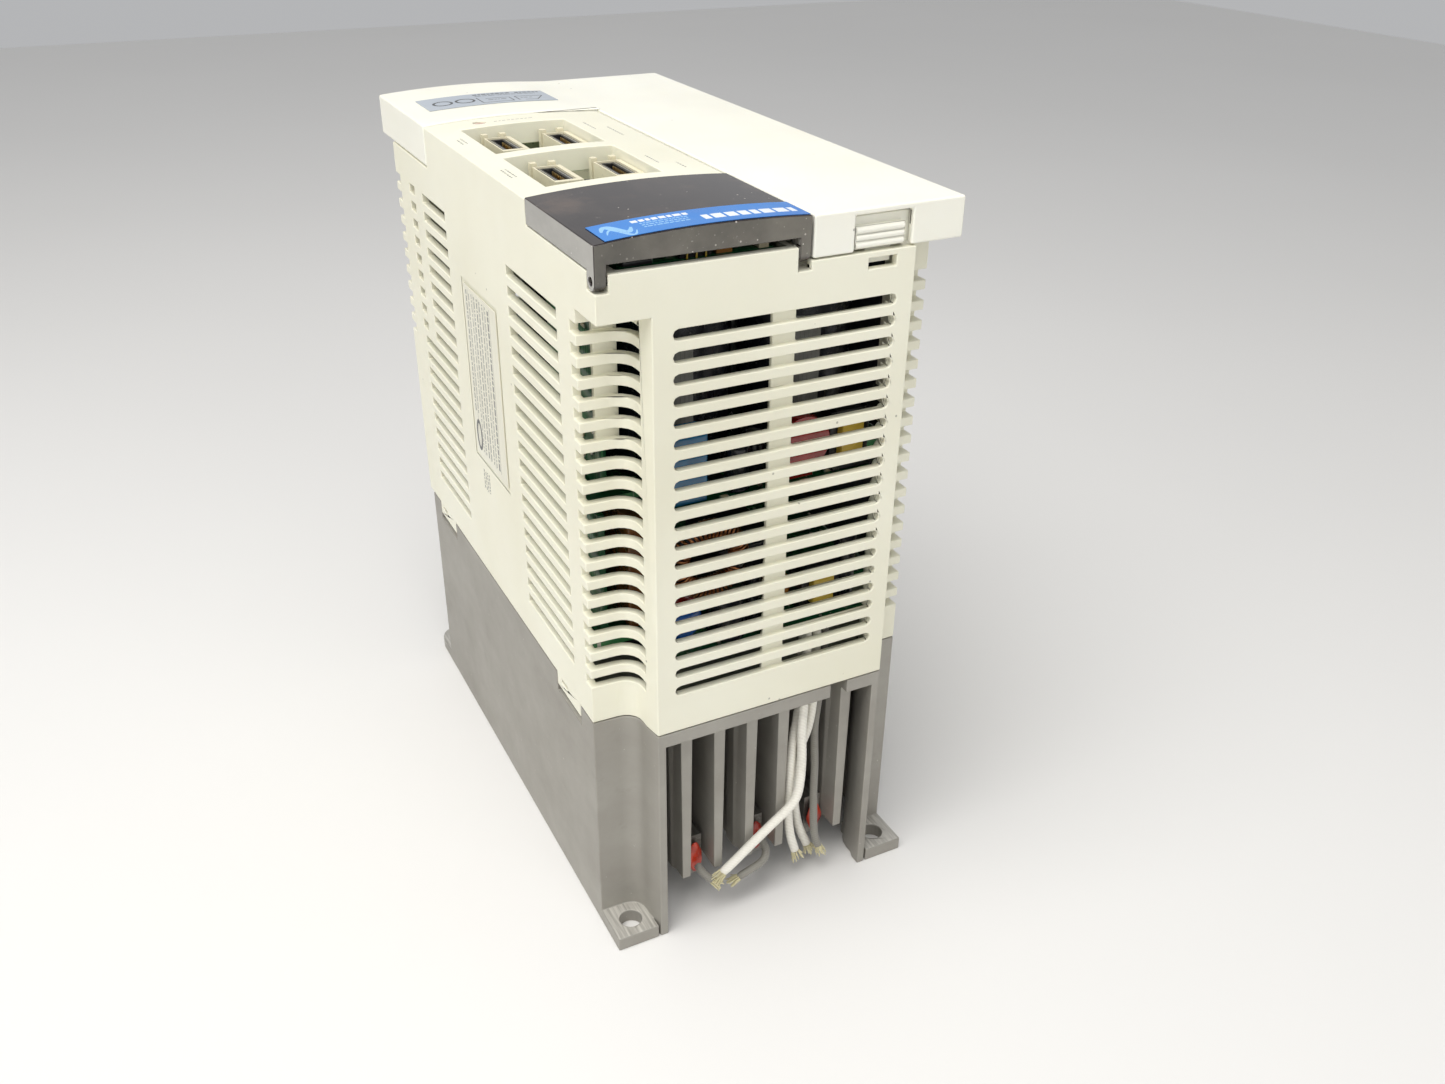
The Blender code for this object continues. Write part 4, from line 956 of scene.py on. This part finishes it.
def display_strip():
    """The small board under the window's lip, on pins, with the parts seen through the gap."""
    floor = extent("control_board")[1].z
    low, high = floor + 3.6, floor + 4.8
    bm = bmesh.new()
    add_box(bm, (-37.6, -80.4, low), (-1.6, -73.6, high), 0.1)
    mesh_piece("display_strip", bm, own("board_green"))
    pins = bmesh.new()
    for index in range(15):
        x = -36.0 + 2.3 * index
        add_box(pins, (x - 0.3, -75.3, floor + 0.02), (x + 0.3, -74.7, low + 1.8), 0.05)
    mesh_piece("display_strip_pins", pins, TIN)
    blocks = (
        ("strip_socket", CHIP, (-24.0, -79.6), (-16.6, -76.6), 2.6),
        ("strip_coil", AMBER_PART, (-15.4, -79.4), (-11.6, -77.4), 1.8),
        ("strip_switch", CERAMIC, (-5.4, -79.8), (-3.0, -77.0), 2.2),
        ("strip_plug", CHIP, (-37.0, -79.8), (-30.4, -78.2), 1.0),
    )
    for name, finish, near_left, far_right, tall in blocks:
        bm = bmesh.new()
        add_box(bm, (*near_left, high + 0.02), (*far_right, high + tall), 0.2)
        mesh_piece(name, bm, finish)
    loops = []
    for x in (-22.6, -20.4, -18.2):
        loops.append(((x, -80.0, high), (x, -80.1, high + 1.9), (x + 0.5, -79.5, high + 2.4)))
    wire("strip_wires", loops, 0.22, TAPE, 2)
    populate("display_strip", 31, ((-36, -3), (-77, -74.4)), 8, high)


def display_digits():
    """Unlit segments of the display: five places of seven bars."""
    low, high, middle = extent("display_module")
    face = bmesh.new()
    base = (low.x + 1.2, low.y + 2.0, high.z - 0.3)
    add_box(face, base, (high.x - 1.2, high.y - 2.0, high.z + 0.02), 0.1)
    mesh_piece("display_face", face, CHIP)
    bm = bmesh.new()
    wide, tall, thick = 1.05, 2.6, 0.22
    for place in range(5):
        x = middle.x + (place - 2) * 3.4
        bars = []
        for row in (-1, 0, 1):
            bars.append((x, middle.y + row * tall, wide, thick))
        for side in (-1, 1):
            for half in (-1, 1):
                bars.append((x + side * (wide + 0.28), middle.y + half * tall / 2, thick, tall * 0.40))
        for across, along, reach_x, reach_y in bars:
            base = (across - reach_x, along - reach_y, high.z - 0.1)
            add_box(bm, base, (across + reach_x, along + reach_y, high.z + 0.05))
    mesh_piece("display_segments", bm, SEGMENT, smooth=False)


def blade(bm, centre, start, hub, tip):
    """One twisted blade as a closed solid, from the hub to its tip."""
    rows, columns = 7, 8
    faces = {1: [], -1: []}
    for row in range(rows + 1):
        t = row / rows
        radius = hub + (tip - hub) * t
        pitch = math.radians(50 - 17 * t)
        chord = 14.5 + 2.0 * t
        for side in (1, -1):
            line = []
            for column in range(columns + 1):
                s = column / columns - 0.5
                crown = 1 - 4 * s * s
                lift = 1.1 * crown + side * (0.25 + 0.55 * crown)
                along = s * chord * math.cos(pitch) - lift * math.sin(pitch)
                axial = s * chord * math.sin(pitch) + lift * math.cos(pitch)
                angle = start + 0.30 * t + along / radius
                spot = Vector((radius * math.sin(angle), axial, radius * math.cos(angle)))
                line.append(bm.verts.new((centre + spot) * MM))
            faces[side].append(line)
    upper, lower = faces[1], faces[-1]
    for sheet in (upper, lower):
        for row in range(rows):
            bridge(bm, sheet[row], sheet[row + 1], closed=False)
    for edge in (0, columns):
        bridge(bm, [line[edge] for line in upper], [line[edge] for line in lower], closed=False)
    for end in (0, rows):
        bridge(bm, upper[end], lower[end], closed=False)


def fan():
    """The rotor's hub and blades, its sticker, and the screws that hold the fan's guard, with painted shade
    for the slot in each screw head.
    """
    low, high, centre = extent("fan_rotor")
    half = (high.y - low.y) / 2
    blade_count = 7
    screw_reach = 25
    hub = 13.9
    tip = (high.x - low.x) / 2 - 0.6
    turn = Matrix.Rotation(-math.pi / 2, 3, "X")
    profile = [
        (hub - 1.8, -half), (hub - 0.5, -half + 0.4), (hub, -half + 1.4),
        (hub, half - 1.4), (hub - 0.5, half - 0.4), (hub - 1.8, half),
        (hub - 3.0, half - 0.1), (hub - 3.4, half - 0.6),
    ]
    body = "cooling_fan_rotor"
    cup = lathe("rotor_hub", profile, centre, own("black_plastic"), body, 48, turn)
    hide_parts("fan_rotor")
    blades = bmesh.new()
    for index in range(blade_count):
        start = 2 * math.pi * index / blade_count
        blade(blades, centre - Vector((0, 0.3, 0)), start, hub - 0.6, tip)
    mesh_piece("rotor_blades", blades, own("black_plastic"), body)
    sticker = bmesh.new()
    add_disc(sticker, centre + Vector((0, half - 0.55, 0)), hub - 3.8, 0.12, "Y", 40)
    mesh_piece("rotor_sticker", sticker, (WHITE_INK, "plate_label"), body)
    _, guard_high, middle = extent("fan_guard")
    screws = bmesh.new()
    slot_shade = bmesh.new()
    for across in (-screw_reach, screw_reach):
        for up in (-screw_reach, screw_reach):
            spot = Vector((middle.x + across, guard_high.y + 0.9, middle.z + up))
            add_disc(screws, spot, 3.1, 1.6, "Y", 24, 2.5)
            # Painted shade: two crossed dark strips on each screw head stand for the shade in its slot
            for angle in (0, math.pi / 2):
                face = spot + Vector((0, 0.78, 0))
                add_turned_box(slot_shade, face, angle, "Y", (3.2, 0.1, 0.6))
    mesh_piece("guard_screws", screws, own("plated_steel"))
    mesh_piece("guard_screw_slot_shade", slot_shade, (DARK_INK, "black_plastic"), smooth=False)


def terminal_plates():
    """The square clamp plates under the terminal screws."""
    bm = bmesh.new()
    for number in range(1, 7):
        low, _, middle = extent(f"terminal_screw_{number}")
        base = (middle.x - 4.2, middle.y - 3.7, low.z - 0.26)
        add_box(bm, base, (middle.x + 4.2, middle.y + 3.7, low.z - 0.02))
    mesh_piece("terminal_plates", bm, own("plated_steel"))


def seals():
    """Squeezed-out sealant where the leads enter the resistors."""
    draw = random.Random(4)
    for number in range(1, 4):
        low, high, centre = extent(f"resistor_seal_{number}")
        half = (high - low) / 2
        bm = bmesh.new()
        bmesh.ops.create_icosphere(bm, subdivisions=4, radius=1)
        waves = []
        for _ in range(9):
            way = Vector([draw.uniform(-1, 1) for _ in range(3)]) * 5
            waves.append((way, draw.uniform(0, 6)))
        for vertex in bm.verts:
            swell = 0.86 + sum(0.028 * math.sin(vertex.co.dot(way) + phase) for way, phase in waves)
            vertex.co = (Vector([c * h * swell for c, h in zip(vertex.co, half)]) + centre) * MM
        blob = mesh_piece(f"sealant_blob_{number}", bm, own("red_sealant"))
        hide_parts(f"resistor_seal_{number}")


def lead_ends():
    """Loose fibres at the cut ends of the sleeves."""
    draw = random.Random(11)
    ends = (
        ((-13.4, -82.4, 13.4), (-0.80, 0.0, -0.60), 1.4, 30),
        ((11.6, -79.8, 9.0), (0.25, -0.08, -0.95), 1.4, 30),
        ((17.2, -77.2, 7.0), (0.36, -0.08, -0.93), 1.4, 34),
        ((18.9, -80.5, 8.6), (0.28, -0.17, -0.94), 1.2, 34),
        ((-8.6, -82.5, 9.8), (-0.9, 0.0, -0.3), 1.2, 30),
        ((-15.9, -82.2, 11.5), (0.65, -0.3, -0.6), 1.2, 30),
    )
    for number, (place, way, radius, count) in enumerate(ends, 1):
        start = Vector(place)
        along = Vector(way).normalized()
        side = along.orthogonal().normalized()
        other = along.cross(side)
        routes = []
        for _ in range(count):
            angle = draw.uniform(0, 2 * math.pi)
            reach = math.sqrt(draw.random()) * radius * 0.9
            out = side * math.cos(angle) + other * math.sin(angle)
            root = start + out * reach - along * 0.4
            length = draw.uniform(1.4, 3.6)
            spread = out * draw.uniform(0.1, 0.9)
            middle = root + along * length * 0.5 + spread * 0.3
            routes.append((root, middle, root + along * length + spread))
        wire(f"loose_fibres_{number}", routes, 0.15, FIBRE, 1)


def round_leads():
    """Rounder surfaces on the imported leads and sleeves."""
    for name in NODES:
        if name.startswith(("white_lead_", "grey_sleeve_")):
            round_off = welded(name).modifiers.new("round", "SUBSURF")
            round_off.levels = 1
            round_off.render_levels = 1


# Stage -------------------------------------------------------------------------------


def make_floor():
    """A plain floor, level with the undersides of the feet; its reach is in metres."""
    reach = 1.6
    bm = bmesh.new()
    bmesh.ops.create_grid(bm, x_segments=1, y_segments=1, size=reach)
    mesh = bpy.data.meshes.new("floor")
    bm.to_mesh(mesh)
    bm.free()
    floor = bpy.data.objects.new("floor", mesh)
    floor.location.z = CAD_BOX[0].z
    EXTRAS.objects.link(floor)
    mesh.materials.append(studio_floor())


def make_light(name, place, target, size, power, colour):
    """A round soft light; its size is in metres and its power in watts."""
    light = bpy.data.lights.new(name, "AREA")
    light.shape = "DISK"
    light.size = size
    light.energy = power
    light.color = colour
    holder = bpy.data.objects.new(name, light)
    holder.location = place
    holder.rotation_euler = (Vector(target) - Vector(place)).to_track_quat("-Z", "Y").to_euler()
    EXTRAS.objects.link(holder)


def make_studio():
    world = bpy.data.worlds.new("studio")
    scene.world = world
    world.use_nodes = True
    background = world.node_tree.nodes["Background"]
    background.inputs["Color"].default_value = (0.92, 0.93, 0.95, 1)
    background.inputs["Strength"].default_value = 0.50
    middle = (0, 0, 0.1)
    warm = (1.0, 0.985, 0.96)
    fill = (1.0, 0.99, 0.97)
    make_light("key_softbox", (-0.32, -0.22, 0.90), middle, 0.7, 6.6, warm)
    make_light("front_fill", (0.10, -1.0, 0.60), middle, 0.8, 1.9, fill)
    make_light("left_fill", (-1.0, -0.1, 0.65), middle, 0.8, 2.0, fill)


def make_camera():
    camera = bpy.data.objects.new("camera", bpy.data.cameras.new("camera"))
    camera.data.lens = CAMERA_LENS
    camera.data.sensor_width = 36.0
    camera.data.clip_start = 0.01
    camera.location = CAMERA_AT
    aim = (CAMERA_TARGET - CAMERA_AT).to_track_quat("-Z", "Y").to_matrix()
    camera.rotation_euler = (aim @ Matrix.Rotation(CAMERA_ROLL, 3, "Z")).to_euler()
    EXTRAS.objects.link(camera)
    scene.camera = camera


make_camera()
make_studio()
make_floor()
dress_cad_nodes()
soften_cad_nodes()
round_leads()
contacts()
populate_boards()
capacitors()
upright_card("left_card", -37.5, (-64, -33), (128.6, 172), 8)
upright_card("lower_left_card", -38.5, (-64, -33), (88.6, 122), 9)
small_cans()
transformer("supply_transformer", (22.8, -73.0, 128.0), (11, 11, 15))
transformer("gate_transformer", (17.0, -73.0, 88.0), (11, 11, 13))
choke("mains_choke", (-16.0, -78.0, 112.0), 8.0, 2.4)
discs()
insulating_sheets()
display_strip()
display_digits()
fan()
terminal_plates()
seals()
lead_ends()
window_label_print()
front_label_print()
rating_plate_print()
panel_print()
